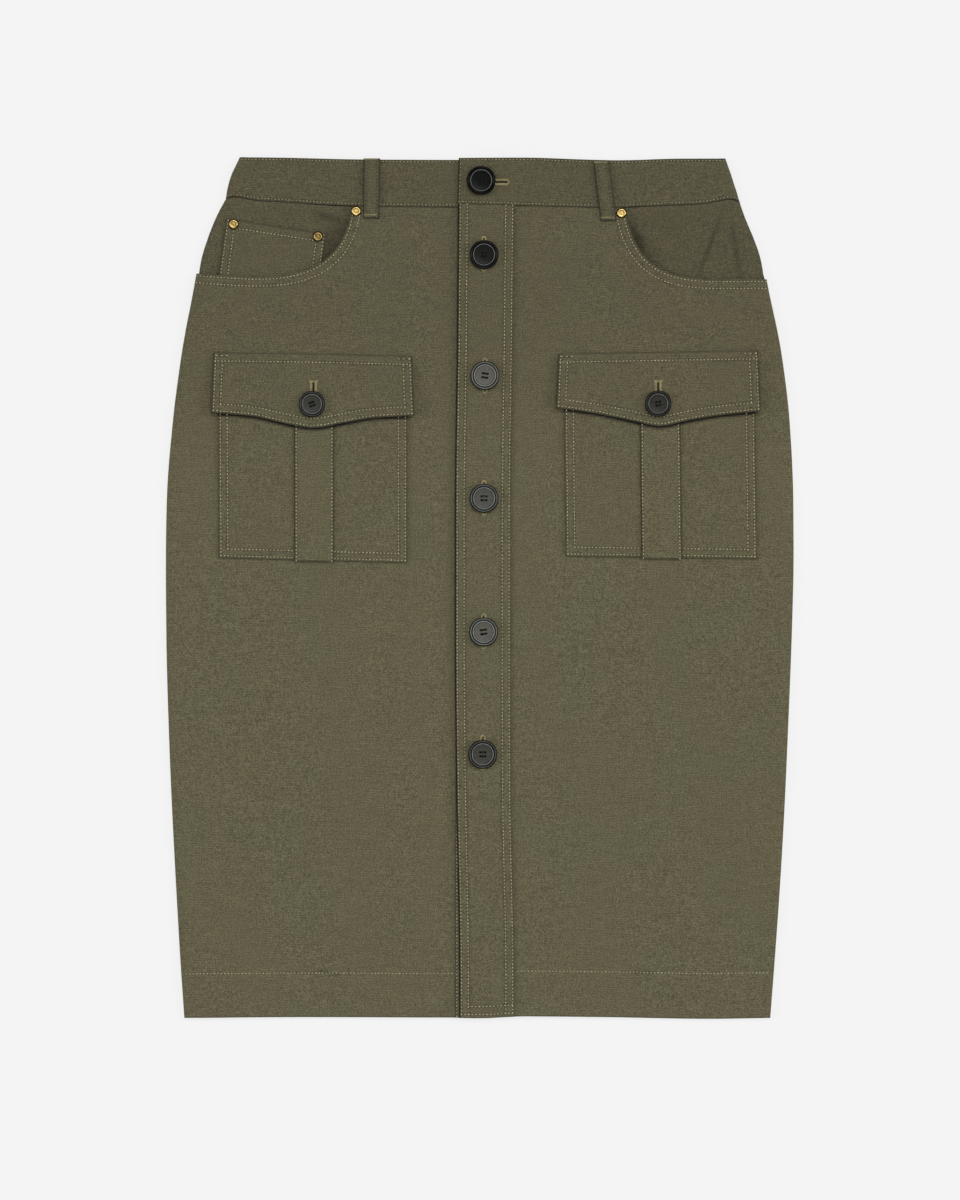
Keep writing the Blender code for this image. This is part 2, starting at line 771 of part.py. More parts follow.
def belt_loop(side, name):
    """A strip over the waistband, sewn to its top edge and to the front below."""
    loop = BELT_LOOPS[side]
    seam = waist_seam[side](loop.bottom_x)
    on_band = band_under(side, loop.top_x) + BAND + GAP
    half = loop.width / 2.0
    step_low, step_high = (seam - below for below in LOOP_STEP)
    on_front = GAP + max(
        front_top(side, x, up)
        for x in (loop.bottom_x - half, loop.bottom_x, loop.bottom_x + half)
        for up in (loop.bottom_up, step_low))
    run = [(loop.bottom_up, on_front), (step_low, on_front), (step_high, on_band)]
    for row in LOOP_OVER_BAND:
        run.append((mix(seam, loop.top_up, row.share), on_band + LOOP_ARCH * row.arch))
    inner = []
    for up, z in run:
        share = (up - loop.bottom_up) / (loop.top_up - loop.bottom_up)
        middle = mix(loop.bottom_x, loop.top_x, share)
        inner.append([(middle - half, up, z), (middle, up, z), (middle + half, up, z)])
    outer = [[(x, up, z + FOLDED) for x, up, z in row] for row in inner]
    wall_body(name, outer, inner)


# ---------------------------------------------------------------- cargo pockets

def cargo_pocket(side, ending):
    """A patch pocket with a strip down its middle and a pointed flap."""
    def on_front(x, up):
        return front_top(side, x, up) + GAP

    def on_pocket(x, up):
        return on_front(x, up) + WALL + GAP

    pocket = corner_patch(POCKETS[side], even(8), even(8))
    flat_cloth("cargo_pocket_" + ending, pocket, on_front)
    strip = corner_patch(STRIPS[side], even(2), even(8))
    flat_cloth("pocket_strip_" + ending, strip, on_pocket)

    places = flap_places(side)
    flat_cloth("pocket_flap_" + ending, places, lambda x, up: flap_under(side, x, up), FOLDED)


def flap_places(side):
    """The grid of a flap, its columns closest where it climbs over the strip."""
    rows = FLAPS[side]
    start, middle, end = rows[0].x, rows[len(rows) // 2].x, rows[-1].x
    stations = [start, start + FLAP_END_COLUMN, mix(start, middle, 0.42)]
    stations += [middle + offset for offset in FLAP_COLUMNS]
    stations += [mix(end, middle, 0.42), end - FLAP_END_COLUMN, end]
    slant = FLAP_SLANT / 2.0
    places = []
    for t in FLAP_ROWS:
        row = []
        for x in stations:
            share = (x - start) / (end - start)
            low = x + mix(-slant, slant, share)
            high = x - mix(-slant, slant, share)
            up = mix(flap_bottom[side](low), flap_top[side](high), t)
            row.append((mix(low, high, t), up))
        places.append(row)
    return places


# ---------------------------------------------------------------- buttons, rivets

def turned_mesh(name, profile, radius, height, segments):
    """A closed round body from a profile table, base first."""
    work = bmesh.new()
    rings = []
    for row in profile:
        out, z = row.radius * radius * MM, row.height * height * MM
        turns = [2.0 * math.pi * k / segments for k in range(segments)]
        ring = [work.verts.new((out * math.cos(t), out * math.sin(t), z)) for t in turns]
        rings.append(ring)
    for lower, upper in zip(rings, rings[1:]):
        for k in range(segments):
            n = (k + 1) % segments
            work.faces.new((lower[k], lower[n], upper[n], upper[k]))
    work.faces.new(reversed(rings[0]))
    work.faces.new(rings[-1])
    bmesh.ops.recalc_face_normals(work, faces=work.faces)
    mesh = bpy.data.meshes.new(name)
    work.to_mesh(mesh)
    work.free()
    return mesh


def button_mesh(diameter, name):
    """A four-hole button with a raised rim and a dished middle."""
    turned = turned_mesh(name, BUTTON_PROFILE, diameter / 2.0, BUTTON_HEIGHT, BUTTON_STEPS)
    body = add_object(name, turned, BUTTON_RESIN)
    holes = bmesh.new()
    hole_radius = HOLE_DIAMETER / 2.0 * MM
    offset = HOLE_SPACING / 2.0 * MM
    for across in (-offset, offset):
        for along in (-offset, offset):
            place = Matrix.Translation((across, along, BUTTON_HEIGHT / 2.0 * MM))
            bmesh.ops.create_cone(
                holes, cap_ends=True, segments=HOLE_STEPS, radius1=hole_radius,
                radius2=hole_radius, depth=2.0 * BUTTON_HEIGHT * MM, matrix=place)
    drill_mesh = bpy.data.meshes.new(name + "_drill")
    holes.to_mesh(drill_mesh)
    holes.free()
    drill = bpy.data.objects.new(name + "_drill", drill_mesh)
    bpy.context.scene.collection.objects.link(drill)
    cut = body.modifiers.new("holes", "BOOLEAN")
    cut.operation = "DIFFERENCE"
    cut.object = drill
    shape = body.evaluated_get(bpy.context.evaluated_depsgraph_get())
    pierced = bpy.data.meshes.new_from_object(shape)
    pierced.name = name
    pierced.shade_smooth()
    pierced.set_sharp_from_angle(angle=math.radians(32.0))
    bpy.data.objects.remove(drill)
    bpy.data.objects.remove(body)
    return pierced


def seat_height(surface, spot, radius):
    """The highest point of a surface under a round piece, and the air above it."""
    turns = [2.0 * math.pi * k / SEAT_STEPS for k in range(SEAT_STEPS)]
    ring = [(spot.x + radius * math.cos(t), spot.up + radius * math.sin(t)) for t in turns]
    return max(surface(x, up) for x, up in ring + [(spot.x, spot.up)]) + GAP


def set_down(spot, mesh, finish, surface, radius):
    """Places a round piece at its spot, resting just above a surface."""
    made = add_object(spot.name, mesh, finish)
    made.location = world((spot.x, spot.up, seat_height(surface, spot, radius)))


def buttons():
    large = button_mesh(BUTTON_DIAMETER, "button_large")
    small = button_mesh(POCKET_BUTTON_DIAMETER, "button_small")
    half = BUTTON_DIAMETER / 2.0
    for spot in FRONT_BUTTONS:
        set_down(spot, large, BUTTON_RESIN, lambda x, up: placket_under(x, up) + FOLDED, half)
    set_down(WAIST_BUTTON, large, BUTTON_RESIN, lambda x, up: band_under(RIGHT, x) + BAND, half)
    half = POCKET_BUTTON_DIAMETER / 2.0
    for side, spot in POCKET_BUTTONS.items():
        set_down(spot, small, BUTTON_RESIN,
                 lambda x, up, s=side: flap_under(s, x, up) + FOLDED, half)


def rivets():
    radius = RIVET_DIAMETER / 2.0
    cap = turned_mesh("rivet_cap", RIVET_PROFILE, radius, RIVET_HEIGHT, RIVET_STEPS)
    cap.shade_smooth()
    for side, spot in HIP_RIVETS.items():
        set_down(spot, cap, BRASS, lambda x, up, s=side: front_top(s, x, up), radius)
    for spot in COIN_RIVETS:
        set_down(spot, cap, BRASS, lambda x, up: FACING_UNDER + 2.0 * WALL + GAP, radius)


def build():
    for old in list(bpy.data.objects):
        bpy.data.objects.remove(old)
    back_panel()
    waistband_back()
    for side, ending in ((LEFT, "left"), (RIGHT, "right")):
        hip_facing(side, "hip_facing_" + ending)
        front_panel(side, "front_panel_" + ending)
        waistband_front(side, "waistband_" + ending)
        belt_loop(side, "belt_loop_" + ending)
        cargo_pocket(side, ending)
    coin_pocket()
    centre_front()
    buttons()
    rivets()


build()
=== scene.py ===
"""Cargo utility skirt: twill, topstitching, buttons and rivets over its frame.

Tables and settings are in millimetres unless a name says otherwise; meshes are
in metres, in the frame's own axes: +Z off the surface, +Y from hem to waist.
"""

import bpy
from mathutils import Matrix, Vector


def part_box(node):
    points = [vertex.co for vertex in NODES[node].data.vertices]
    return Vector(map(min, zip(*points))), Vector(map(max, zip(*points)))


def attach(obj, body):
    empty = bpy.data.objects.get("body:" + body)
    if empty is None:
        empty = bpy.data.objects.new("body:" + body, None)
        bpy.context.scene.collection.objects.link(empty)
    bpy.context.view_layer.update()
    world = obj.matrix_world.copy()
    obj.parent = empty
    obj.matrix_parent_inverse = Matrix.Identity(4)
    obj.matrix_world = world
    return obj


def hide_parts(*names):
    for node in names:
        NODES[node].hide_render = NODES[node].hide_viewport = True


bl_info = {
    "name": "Cargo Utility Skirt",
    "version": (1, 0, 0),
    "blender": (4, 5, 0),
    "location": "View3D > Sidebar > Skirt",
    "description": "Lays out an olive twill skirt with its stitching, buttons and rivets",
    "category": "Object",
}

from collections import namedtuple
from functools import cache, partial
from math import ceil, cos, exp, pi, radians, sin, sqrt

import bmesh
import bpy
import numpy as np
from bpy.props import FloatProperty, FloatVectorProperty, IntProperty, PointerProperty
from bpy.types import Operator, Panel, PropertyGroup
from mathutils import Matrix, Vector, noise
from mathutils.bvhtree import BVHTree

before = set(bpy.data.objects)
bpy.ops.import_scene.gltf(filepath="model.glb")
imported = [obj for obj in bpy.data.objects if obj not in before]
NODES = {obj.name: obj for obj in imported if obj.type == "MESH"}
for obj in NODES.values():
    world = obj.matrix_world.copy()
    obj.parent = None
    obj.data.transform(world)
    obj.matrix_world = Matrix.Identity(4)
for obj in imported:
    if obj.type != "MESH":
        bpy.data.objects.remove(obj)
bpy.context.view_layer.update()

MM = 0.001


def linear(code):
    """A linear colour from an sRGB hex code."""
    parts = [int(code[i:i + 2], 16) / 255.0 for i in (1, 3, 5)]
    return tuple(p / 12.92 if p <= 0.04045 else ((p + 0.055) / 1.055) ** 2.4 for p in parts)


def rgba(colour):
    return (*colour, 1.0)


def mix(a, b, share):
    return a + (b - a) * share


def ease(low, high, at):
    """0 below low, 1 above high, and a smooth step between them."""
    share = np.clip((np.asarray(at, dtype=float) - low) / (high - low), 0.0, 1.0)
    return share * share * (3.0 - 2.0 * share)


def table(columns, *rows):
    """Rows of values with named columns."""
    made = namedtuple("TableRow", columns)
    return tuple(made(*row) for row in rows)


# ---- measures

WALL = 1.0  # thickness of one layer of twill
FOLDED = 1.4  # placket, flaps and loops
BAND = 1.8  # front waistband
TURNED_RISE = 0.28  # a turned edge stands this much higher
TURNED_STEP = (-0.8, 1.4)  # and drops between these places about its end
ROW_DEPTH = 0.26  # a row of stitches sinks this deep
ROW_WIDTH = 1.1  # and this far to each side of it
ROW_PAINTED_SHADE = 0.45  # how much painted shade darkens a row of stitches
ROW_SHADE = 0.55  # and how far to each side
PUCKER = 0.20  # height of the small waves beside it
PUCKER_REACH = 11.0  # which end this far from it
PUCKER_FADE = 4.5  # and shrink by this
SIDE_FADE = 14.0  # swells die out this near a rolled side
EDGE_WEAR_AND_HIGHLIGHT = 0.06  # how much paler a folded edge's crest is painted: painted highlight, with wear
PALE_AT, PALE_WIDTH = 1.5, 0.5  # where, and how far to each side
INSIDE_PAINTED_SHADE = 0.6  # painted shade: tone of the hidden face against the worked one, which darkens the rim between them
RIM_FADE = (0.6, 1.4)  # where the painted shade in a folded edge's crevice fades out
THIN_SHARE = 0.15  # of its thickness that a wall keeps at a rolled side's edge
FOLD_ROUND, FOLD_DEPTH = 0.9, 0.45  # radius and depth of a folded edge, shares of the wall
COIN_EASE = (-2.5, -1.7)  # how far the coin pocket's left side bows out, bottom and top
SEAM_LAP = 0.5  # how far a cloth reaches into the seam of its neighbour
FLAP_PAINTED_SHADOW = 0.95  # painted shadow: how much darker the cloth is right below a flap
FLAP_SHADOW_REACH = 2.2  # and how far from the flap's edge
WAIST_PAINTED_SHADE = 0.13  # painted shade: how much darker the cloth grows towards the waist
TOP_SPAN = (70.0, 230.0)  # between these heights of the frame

# Distances in from an edge at which the lines of a cloth's grid stand.
EDGE = (0.0, 0.1, 0.3, 0.6, 0.9, 1.2, 3.0, 4.8)
PLAIN = (0.0, 1.0, 3.0)
ROLLED = (0.0, 0.08, 0.3, 0.7, 1.3, 2.1, 3.2, 4.6, 6.2, 8.0)

CLEAR, NEAR = 50.0, 12.0  # heights well clear of the skirt, and just above it

UPRIGHTS = ("left", "right")
FRONT_TIP, BACK_TIP = 2.05, 1.75  # heights of the rolled edges
FRONT_ROLL, FACING_ROLL, BACK_ROLL = 8.0, 10.0, 5.0
EDGE_ROWS = (1.8, 7.0)  # insets of double topstitching
BAND_ROW = 1.6  # and of the waistband's single row
HEM_ROWS = {"left": 33.5, "right": 34.5}
BACK_HEM_ROW = 31.7
MOUTH_ARCS = {"left": (1.0, 146.5), "right": (-137.5, -1.0)}
UNDER_PLACKET = 200.0  # where the button stand disappears
# How dark each hip facing is drawn: partly the cloth's own tone, partly painted shade.
FACING_TONES = {"left": 0.87, "right": 0.835}

# Ridges pressed or pulled into a piece: a line, how far it reaches to each side,
# its height, and how much painted shade darkens its middle; those of no height, inside
# the pocket mouths, are painted shade alone.
CREASES = {node: table("x1 y1 x2 y2 width height shade", *rows) for node, rows in {
    "hip_facing_left": (
        (-128.0, 285.5, -100.0, 278.5, 2.4, 1.2, 0.45),
        (-122.0, 277.0, -96.0, 268.0, 3.5, 0.6, 0.12),
        (-200.0, 293.0, -118.0, 291.0, 9.0, 0.9, 0.0),
        (-206.0, 262.0, -197.0, 238.0, 4.0, 0.4, 0.05),
        (-124.0, 250.0, -98.0, 280.0, 8.0, 0.0, 0.32),
        (-118.0, 248.0, -96.0, 270.0, 3.0, 0.0, 0.30),
    ),
    "hip_facing_right": (
        (183.9, 284.0, 165.1, 234.0, 1.7, 1.2, 0.40), (191.5, 281.0, 198.6, 234.0, 1.9, 1.2, 0.32),
        (130.0, 288.0, 156.0, 268.0, 6.0, 0.5, 0.05), (128.0, 290.0, 200.0, 292.0, 9.0, 0.7, 0.0),
        (112.0, 284.0, 136.0, 244.0, 6.0, 0.0, 0.22), (114.5, 278.0, 125.0, 253.0, 2.8, 0.0, 0.50),
    ),
    "front_panel_left": ((-140.0, 241.0, -101.0, 276.0, 15.0, 1.5, 0.0),),
    "front_panel_right": ((148.0, 240.0, 114.0, 274.0, 15.0, 1.5, 0.0),),
    "pocket_flap_left": (
        (-205.0, 122.0, -203.0, 166.0, 15.0, 1.3, 0.0),
        (-49.0, 120.0, -51.0, 166.0, 14.0, 1.5, 0.0),
    ),
    "pocket_flap_right": (
        (58.0, 120.0, 59.0, 166.0, 14.0, 1.4, 0.0), (213.5, 122.0, 212.0, 168.0, 14.0, 1.3, 0.0),
    ),
}.items()}

# The middles of each loop's two bar tacks.
LOOPS = table(
    "side bottom top",
    ("left", (-82.3, 283.5), (-81.9, 325.6)),
    ("right", (97.8, 281.5), (92.4, 323.4)),
)
LIFT, LOWEST = 0.03, 0.7  # of topstitching: off its cloth, and off the surface below
TOP_RISE = 1.15  # height of its stitches, in thicknesses of thread
TACK_PITCH = 0.45  # also of the threads in a button
TACK_STITCHES = range(-12, 10)  # left and right of the middle
TACK_SWAY, TACK_WAVE = 0.15, 1.9  # how far the tack wanders, and how fast

# Gap is from the cut to the bars of thread, bar their length, tack the width of
# the bar that closes one end; turn in degrees.
FRONT_HOLES = ((3.2, 253.9), (3.9, 161.3), (3.3, 68.5), (3.0, -32.9), (2.4, -125.0))
BUTTONHOLES = table(
    "name piece x y half_length gap bar turn tack",
    ("waist", "waistband_right", 8.0, 308.4, 15.0, 0.6, 1.9, 0.0, 0.0),
    *((f"front_{number}", "placket", *place, 13.8, 0.4, 1.7, 90.0, 0.0)
      for number, place in enumerate(FRONT_HOLES, 1)),
    ("pocket_left", "pocket_flap_left", -126.2, 143.8, 13.0, 0.6, 2.1, 90.0, 6.6),
    ("pocket_right", "pocket_flap_right", 135.4, 144.0, 13.0, 0.6, 2.1, 90.0, 6.6),
)
CUT_SHORT = 1.0  # a buttonhole's cut ends this far inside its bars
CUT_WIDER = 0.2  # and reaches this far under them
SLIT_HALF_WALL = 0.12

# Turn in degrees; across and along are between the middles of the holes; depth is
# how dark the resin is, from 0 to 1.
BUTTONS = table(
    "name turn across along depth",
    ("button_waist", 4.0, 2.7, 2.7, 1.0),
    ("button_front_1", -3.0, 2.7, 2.7, 0.94),
    ("button_front_2", -8.0, 3.7, 3.0, 0.05),
    ("button_front_3", 0.0, 3.7, 3.0, 0.32),
    ("button_front_4", 8.0, 3.7, 3.0, 0.1),
    ("button_front_5", 0.0, 3.7, 3.0, 0.56),
    ("button_pocket_left", 18.0, 3.2, 2.5, 0.64),
    ("button_pocket_right", 8.0, 3.2, 2.5, 0.76),
)

# Profiles run from the base up and in to the middle of the face: shares of the
# radius and of the height, and how pale or dark the surface is painted, from -1 to 1:
# painted highlight with wear on ridges, painted shade in grooves and at the rims.
BUTTON_PROFILE = table(
    "radius height wear",
    (0.80, 0.0, -1.0), (0.955, 0.12, -1.0), (0.995, 0.36, -1.0), (1.0, 0.62, -1.0),
    (0.985, 0.84, -1.0), (0.955, 0.95, -1.0), (0.92, 1.0, -0.7), (0.905, 1.0, 0.5),
    (0.885, 0.98, 0.8), (0.865, 0.93, -0.5), (0.84, 0.84, -1.0), (0.79, 0.80, -1.0),
    (0.76, 0.84, -0.6), (0.745, 0.88, 0.5), (0.725, 0.90, 1.0), (0.705, 0.88, 0.5),
    (0.685, 0.80, -0.8), (0.66, 0.75, -0.5), (0.64, 0.73, 0.0), (0.34, 0.70, 0.0),
    (0.0, 0.70, 0.0),
)
BUTTON_RIM = 0.87  # beyond this share of the radius, the darker a button, the less painted highlight it gets
DRILL = 20.0  # length of what cuts its holes
BUTTON_FACE = 0.70  # height of the flat middle, as a share
THREAD_SINK, THREAD_OVER = 0.1, 1.4  # its bars: how far into the face, and past the holes
RIVET_PROFILE = table(
    "radius height wear",
    (0.93, 0.0, -1.0), (0.99, 0.2, -1.0), (1.0, 0.4, -1.0), (0.97, 0.54, -1.0),
    (0.91, 0.62, -1.0), (0.83, 0.68, -1.0), (0.80, 0.78, -0.4), (0.76, 0.90, 0.4),
    (0.70, 0.98, 0.7), (0.63, 1.0, 0.7), (0.56, 0.94, 0.1), (0.50, 0.88, -0.15),
    (0.43, 0.86, -0.1), (0.30, 0.87, 0.2), (0.15, 0.89, 0.3), (0.0, 0.90, 0.3),
)
RIVET_CAP = 0.82  # the cap lies within this share of the radius
RIVET_TURN = 77.0  # degrees that each is turned from the one before
BEATEN, BEATEN_WITHIN = 0.8, 0.6  # size of its dents, and the share they fill
# Cap brightness is how much brighter a cap is drawn than the rest, from -1 to 1.
RIVETS = table(
    "name polish", ("rivet_hip_left", 0.3), ("rivet_hip_right", 0.35),
    ("rivet_coin_outer", 0.0), ("rivet_coin_inner", -0.55),
)
KINK = radians(28.0)  # an outline keeps a corner above this angle
BROAD = radians(40.0)  # a CAD form's faces are smoothed into one another below this angle
SHARP = radians(38.0)  # hard pieces keep an edge above this angle

# Broad lights: bearing turns clockwise from the waist end, elevation is above
# the surface, share is of the light that reaches the floor, spread is the size
# of the source; all angles in degrees.
SOFT_LIGHTS = table(
    "name bearing elevation share spread",
    ("key", 20.0, 60.0, 0.50, 35.0), ("left", -88.0, 25.0, 0.18, 30.0),
    ("right", 88.0, 25.0, 0.20, 30.0), ("front", 180.0, 38.0, 0.12, 50.0),
)
FLOOR_REACH, FLOOR_DROP = 4000.0, 0.4  # half a side, and how far below the skirt
CAMERA_SHIFT = (0.2, -9.1)  # of the view's middle from the origin
SHARP_HEIGHT = 4.0  # the view's size is taken at this height
SENSOR = 36.0


# ---- settings

COLOUR = {"subtype": "COLOR", "size": 3, "min": 0.0, "max": 1.0}


class FabricSettings(PropertyGroup):
    """Olive cotton twill."""

    brown: FloatVectorProperty(
        name="Brown patches", description="Warmer patches of the dyed cloth",
        default=linear("#605a43"), **COLOUR)
    green: FloatVectorProperty(
        name="Green patches", description="Cooler patches of the dyed cloth",
        default=linear("#5e5a43"), **COLOUR)
    rib: FloatProperty(
        name="Rib", description="Spacing of the ribs across the cloth, in millimetres",
        default=1.85, min=0.3, max=4.0)
    swell: FloatProperty(
        name="Swell", description="Height of the soft swells, in millimetres",
        default=0.55, min=0.0, max=2.0)


class StitchSettings(PropertyGroup):
    """Topstitching and buttonholes."""

    pitch: FloatProperty(
        name="Pitch", description="From one stitch to the next", unit="LENGTH",
        default=2.65 * MM, min=1.0 * MM, max=8.0 * MM)
    length: FloatProperty(
        name="Stitch", description="Length of thread that shows", unit="LENGTH",
        default=1.4 * MM, min=0.5 * MM, max=6.0 * MM)
    thread: FloatProperty(
        name="Thread", description="Thickness of the topstitching thread", unit="LENGTH",
        default=0.64 * MM, min=0.1 * MM, max=1.5 * MM)
    colour: FloatVectorProperty(
        name="Topstitching", description="Colour of the topstitching",
        default=linear("#b9b18d"), **COLOUR)
    hole_colour: FloatVectorProperty(
        name="Buttonhole thread", description="Colour of the buttonhole thread",
        default=linear("#a2986c"), **COLOUR)
    seed: IntProperty(name="Seed", description="Seed of the stitches' small differences", default=7)


class ButtonSettings(PropertyGroup):
    """Four-hole buttons."""

    colour: FloatVectorProperty(
        name="Resin", description="Colour of the darkest buttons", default=linear("#111211"), **COLOUR)
    rubbed: FloatVectorProperty(
        name="Rubbed resin", description="Colour where a button is rubbed grey",
        default=linear("#595850"), **COLOUR)
    # Colour of the painted highlight, with wear, on the ridges.
    ridges: FloatVectorProperty(
        name="Ridges", description="Colour of the ridges, rubbed palest",
        default=linear("#8d9493"), **COLOUR)
    hole: FloatProperty(
        name="Hole", description="Diameter of a hole", unit="LENGTH",
        default=1.8 * MM, min=0.5 * MM, max=4.0 * MM)


class RivetSettings(PropertyGroup):
    """Brass rivets."""

    colour: FloatVectorProperty(
        name="Brass", description="Colour of the rivets", default=linear("#e2c278"), **COLOUR)


class StageSettings(PropertyGroup):
    """Floor, light and camera."""

    floor: FloatVectorProperty(
        name="Floor", description="Colour of the floor", default=linear("#f4f4f4"), **COLOUR)
    glow: FloatProperty(
        name="Glow", description="Share of the floor's brightness that comes from behind it",
        default=0.83, min=0.0, max=1.0)
    camera_height: FloatProperty(
        name="Camera height", description="Camera above the surface", unit="LENGTH",
        default=3.0, min=1.0, max=10.0)
    view_height: FloatProperty(
        name="View height", description="What the view takes in from top to bottom",
        unit="LENGTH", default=0.912, min=0.2, max=3.0)
    light: FloatProperty(
        name="Light", description="Strength of the soft lights together", default=0.81, min=0.0, max=10.0)
    fill: FloatProperty(
        name="Fill", description="Strength of the even light all round", default=0.20, min=0.0, max=5.0)


# ---- materials

WAVE = 0.314  # a wave texture of this scale has one band to a unit


def add_node(tree, kind, links=(), inputs=(), into=None, **settings):
    """Adds a node with its settings, its inputs' values and its links; returns its outputs."""
    made = tree.nodes.new(kind)
    for name, value in settings.items():
        setattr(made, name, value)
    for name, value in dict(inputs).items():
        made.inputs[name].default_value = value
    for name, source in dict(links).items():
        tree.links.new(source, made.inputs[name])
    if into is not None:
        tree.links.new(made.outputs[0], into)
    return made.outputs


def new_material(name, values):
    """A material, what adds a node to it, and its shader's inputs, set to the values."""
    made = bpy.data.materials.new(name)
    made.use_nodes = True
    shader = made.node_tree.nodes["Principled BSDF"].inputs
    for socket, value in values.items():
        shader[socket].default_value = value
    return made, partial(add_node, made.node_tree), shader


def mottle(add, across, along, low, high, detail=1.0, roughness=0.6, ends=(0.3, 0.7)):
    """Noise in patches of a size, and the shades from low to high that it gives."""
    place = add("ShaderNodeTexCoord")["Object"]
    grid = add(
        "ShaderNodeMapping", {"Vector": place},
        {"Scale": [1.0 / (size * MM) for size in (across, along, across)]})
    grain = add(
        "ShaderNodeTexNoise", {"Vector": grid[0]},
        {"Scale": 1.0, "Detail": detail, "Roughness": roughness})
    shades = add(
        "ShaderNodeMapRange", {"Value": grain[0]},
        {"From Min": ends[0], "From Max": ends[1], "To Min": low, "To Max": high})
    return grain[0], shades[0]


@cache
def twill_material():
    """Cotton twill, woven, dyed and pressed: matt, with a soft bloom of fibre ends."""
    fabric = bpy.context.scene.skirt_fabric
    made, add, shader = new_material("olive_cotton_twill_woven", {
        "Roughness": 0.92, "Specular IOR Level": 0.25, "Sheen Weight": 0.12, "Sheen Roughness": 0.5})

    # Yarns are 0.4 mm apart and ribs 0.6 mm: both are drawn coarser, so that they show.
    place = add("ShaderNodeTexCoord")["Object"]
    rows = add(
        "ShaderNodeMapping", {"Vector": place},
        {"Rotation": (0.0, 0.0, radians(2.0)), "Scale": (1.0 / (fabric.rib * MM),) * 3})
    ribs = add(
        "ShaderNodeTexWave", {"Vector": rows[0]},
        {"Scale": WAVE, "Distortion": 2.2, "Detail": 2.0, "Detail Scale": 1.6},
        bands_direction="Y")["Fac"]
    ribbed = add("ShaderNodeMapRange", {"Value": ribs}, {"To Min": 0.94, "To Max": 1.06})[0]
    _, warp = mottle(add, 1.4, 6.0, 0.92, 1.08)
    speckle, speckled = mottle(add, 0.95, 0.95, 0.60, 1.40)
    _, streaked = mottle(add, 9.0, 1.5, 0.93, 1.07)
    # The tone attribute brings each piece's painted shade and painted highlight, with its own tone.
    depth = add("ShaderNodeAttribute", attribute_name="tone")["Fac"]
    for shade in (ribbed, warp, speckled, streaked):
        depth = add("ShaderNodeMath", {0: depth, 1: shade}, operation="MULTIPLY")[0]

    _, patches = mottle(add, 55.0, 75.0, 0.0, 1.0, detail=1.5, ends=(0.36, 0.64))
    dyed = add(
        "ShaderNodeMix", {"Factor": patches},
        {6: rgba(fabric.brown), 7: rgba(fabric.green)}, data_type="RGBA")
    add("ShaderNodeHueSaturation", {"Color": dyed[2], "Value": depth}, into=shader["Base Color"])
    relief = add("ShaderNodeMath", {0: ribs, 1: speckle}, operation="ADD")
    add("ShaderNodeBump", {"Height": relief[0]},
        {"Strength": 0.6, "Distance": 0.14 * MM}, into=shader["Normal"])
    return made


@cache
def thread_material(name, colour, light):
    """Polyester-cotton sewing thread, twisted: a soft satin on each stitch."""
    made, add, shader = new_material(name, {
        "Roughness": 0.6, "Specular IOR Level": 0.2, "Sheen Weight": 0.1, "Sheen Tint": rgba(colour)})
    _, worn = mottle(add, 4.0, 4.0, 0.72, light, detail=2.0, roughness=0.5)
    add("ShaderNodeHueSaturation", {"Value": worn}, {"Color": rgba(colour)}, into=shader["Base Color"])
    place = add("ShaderNodeTexCoord")["Object"]
    twist = add(
        "ShaderNodeTexWave", {"Vector": place}, {"Scale": WAVE / (0.35 * MM)}, bands_direction="DIAGONAL")
    add("ShaderNodeBump", {"Height": twist["Fac"]},
        {"Strength": 0.4, "Distance": 0.05 * MM}, into=shader["Normal"])
    return made


def thread(kind):
    """The thread of a kind of sewing; the cut of a buttonhole is a dark sheet of painted shadow."""
    settings = bpy.context.scene.skirt_stitching
    return thread_material(*{
        "topstitching": ("khaki_core_spun_thread", tuple(settings.colour), 1.15),
        "band": ("khaki_core_spun_thread_fine", linear("#9c9573"), 1.1),
        "loop": ("olive_core_spun_thread", linear("#6c6850"), 1.1),
        "tack": ("tan_tacking_thread", linear("#8f8561"), 1.1),
        "buttonhole": ("tan_buttonhole_twist", tuple(settings.hole_colour), 1.1),
        # Painted shadow inside a buttonhole's cut: a dark sheet.
        "cut": ("buttonhole_cut_painted_shadow", linear("#1c1a13"), 1.0),
        "button": ("black_button_thread", linear("#050505"), 1.0),
    }[kind])


@cache
def resin_material(depth):
    """Polyester button resin: from glossy black to a rubbed dark grey, with painted highlight and wear on
    its ridges and painted shade in its grooves.
    """
    settings = bpy.context.scene.skirt_buttons
    dark, rubbed, pale = (
        np.array(colour) for colour in (settings.colour, settings.rubbed, settings.ridges))
    made, add, shader = new_material(f"polyester_resin_tumbled_{round(depth * 100):03d}", {
        "Roughness": mix(0.45, 0.3, depth), "IOR": 1.54, "Specular IOR Level": mix(0.2, 0.06, depth)})
    _, clouds = mottle(add, 1.6, 1.6, 0.72, 1.3, detail=4.0, roughness=0.65)
    ground = add("ShaderNodeHueSaturation", {"Value": clouds}, {"Color": rgba(mix(rubbed, dark, depth))})
    # Painted light with wear: ridges are painted paler, grooves and rims darker.
    wear = add("ShaderNodeAttribute", attribute_name="wear")["Fac"]
    ridges = add(
        "ShaderNodeMix", {"Factor": wear, 6: ground[0]},
        {7: rgba(mix(pale, dark, 0.45 * depth))}, data_type="RGBA")
    grooved = add(
        "ShaderNodeMapRange", {"Value": wear},
        {"From Min": -1.0, "From Max": 0.0, "To Min": 0.05, "To Max": 1.0})
    add("ShaderNodeHueSaturation", {"Color": ridges[2], "Value": grooved[0]}, into=shader["Base Color"])
    return made


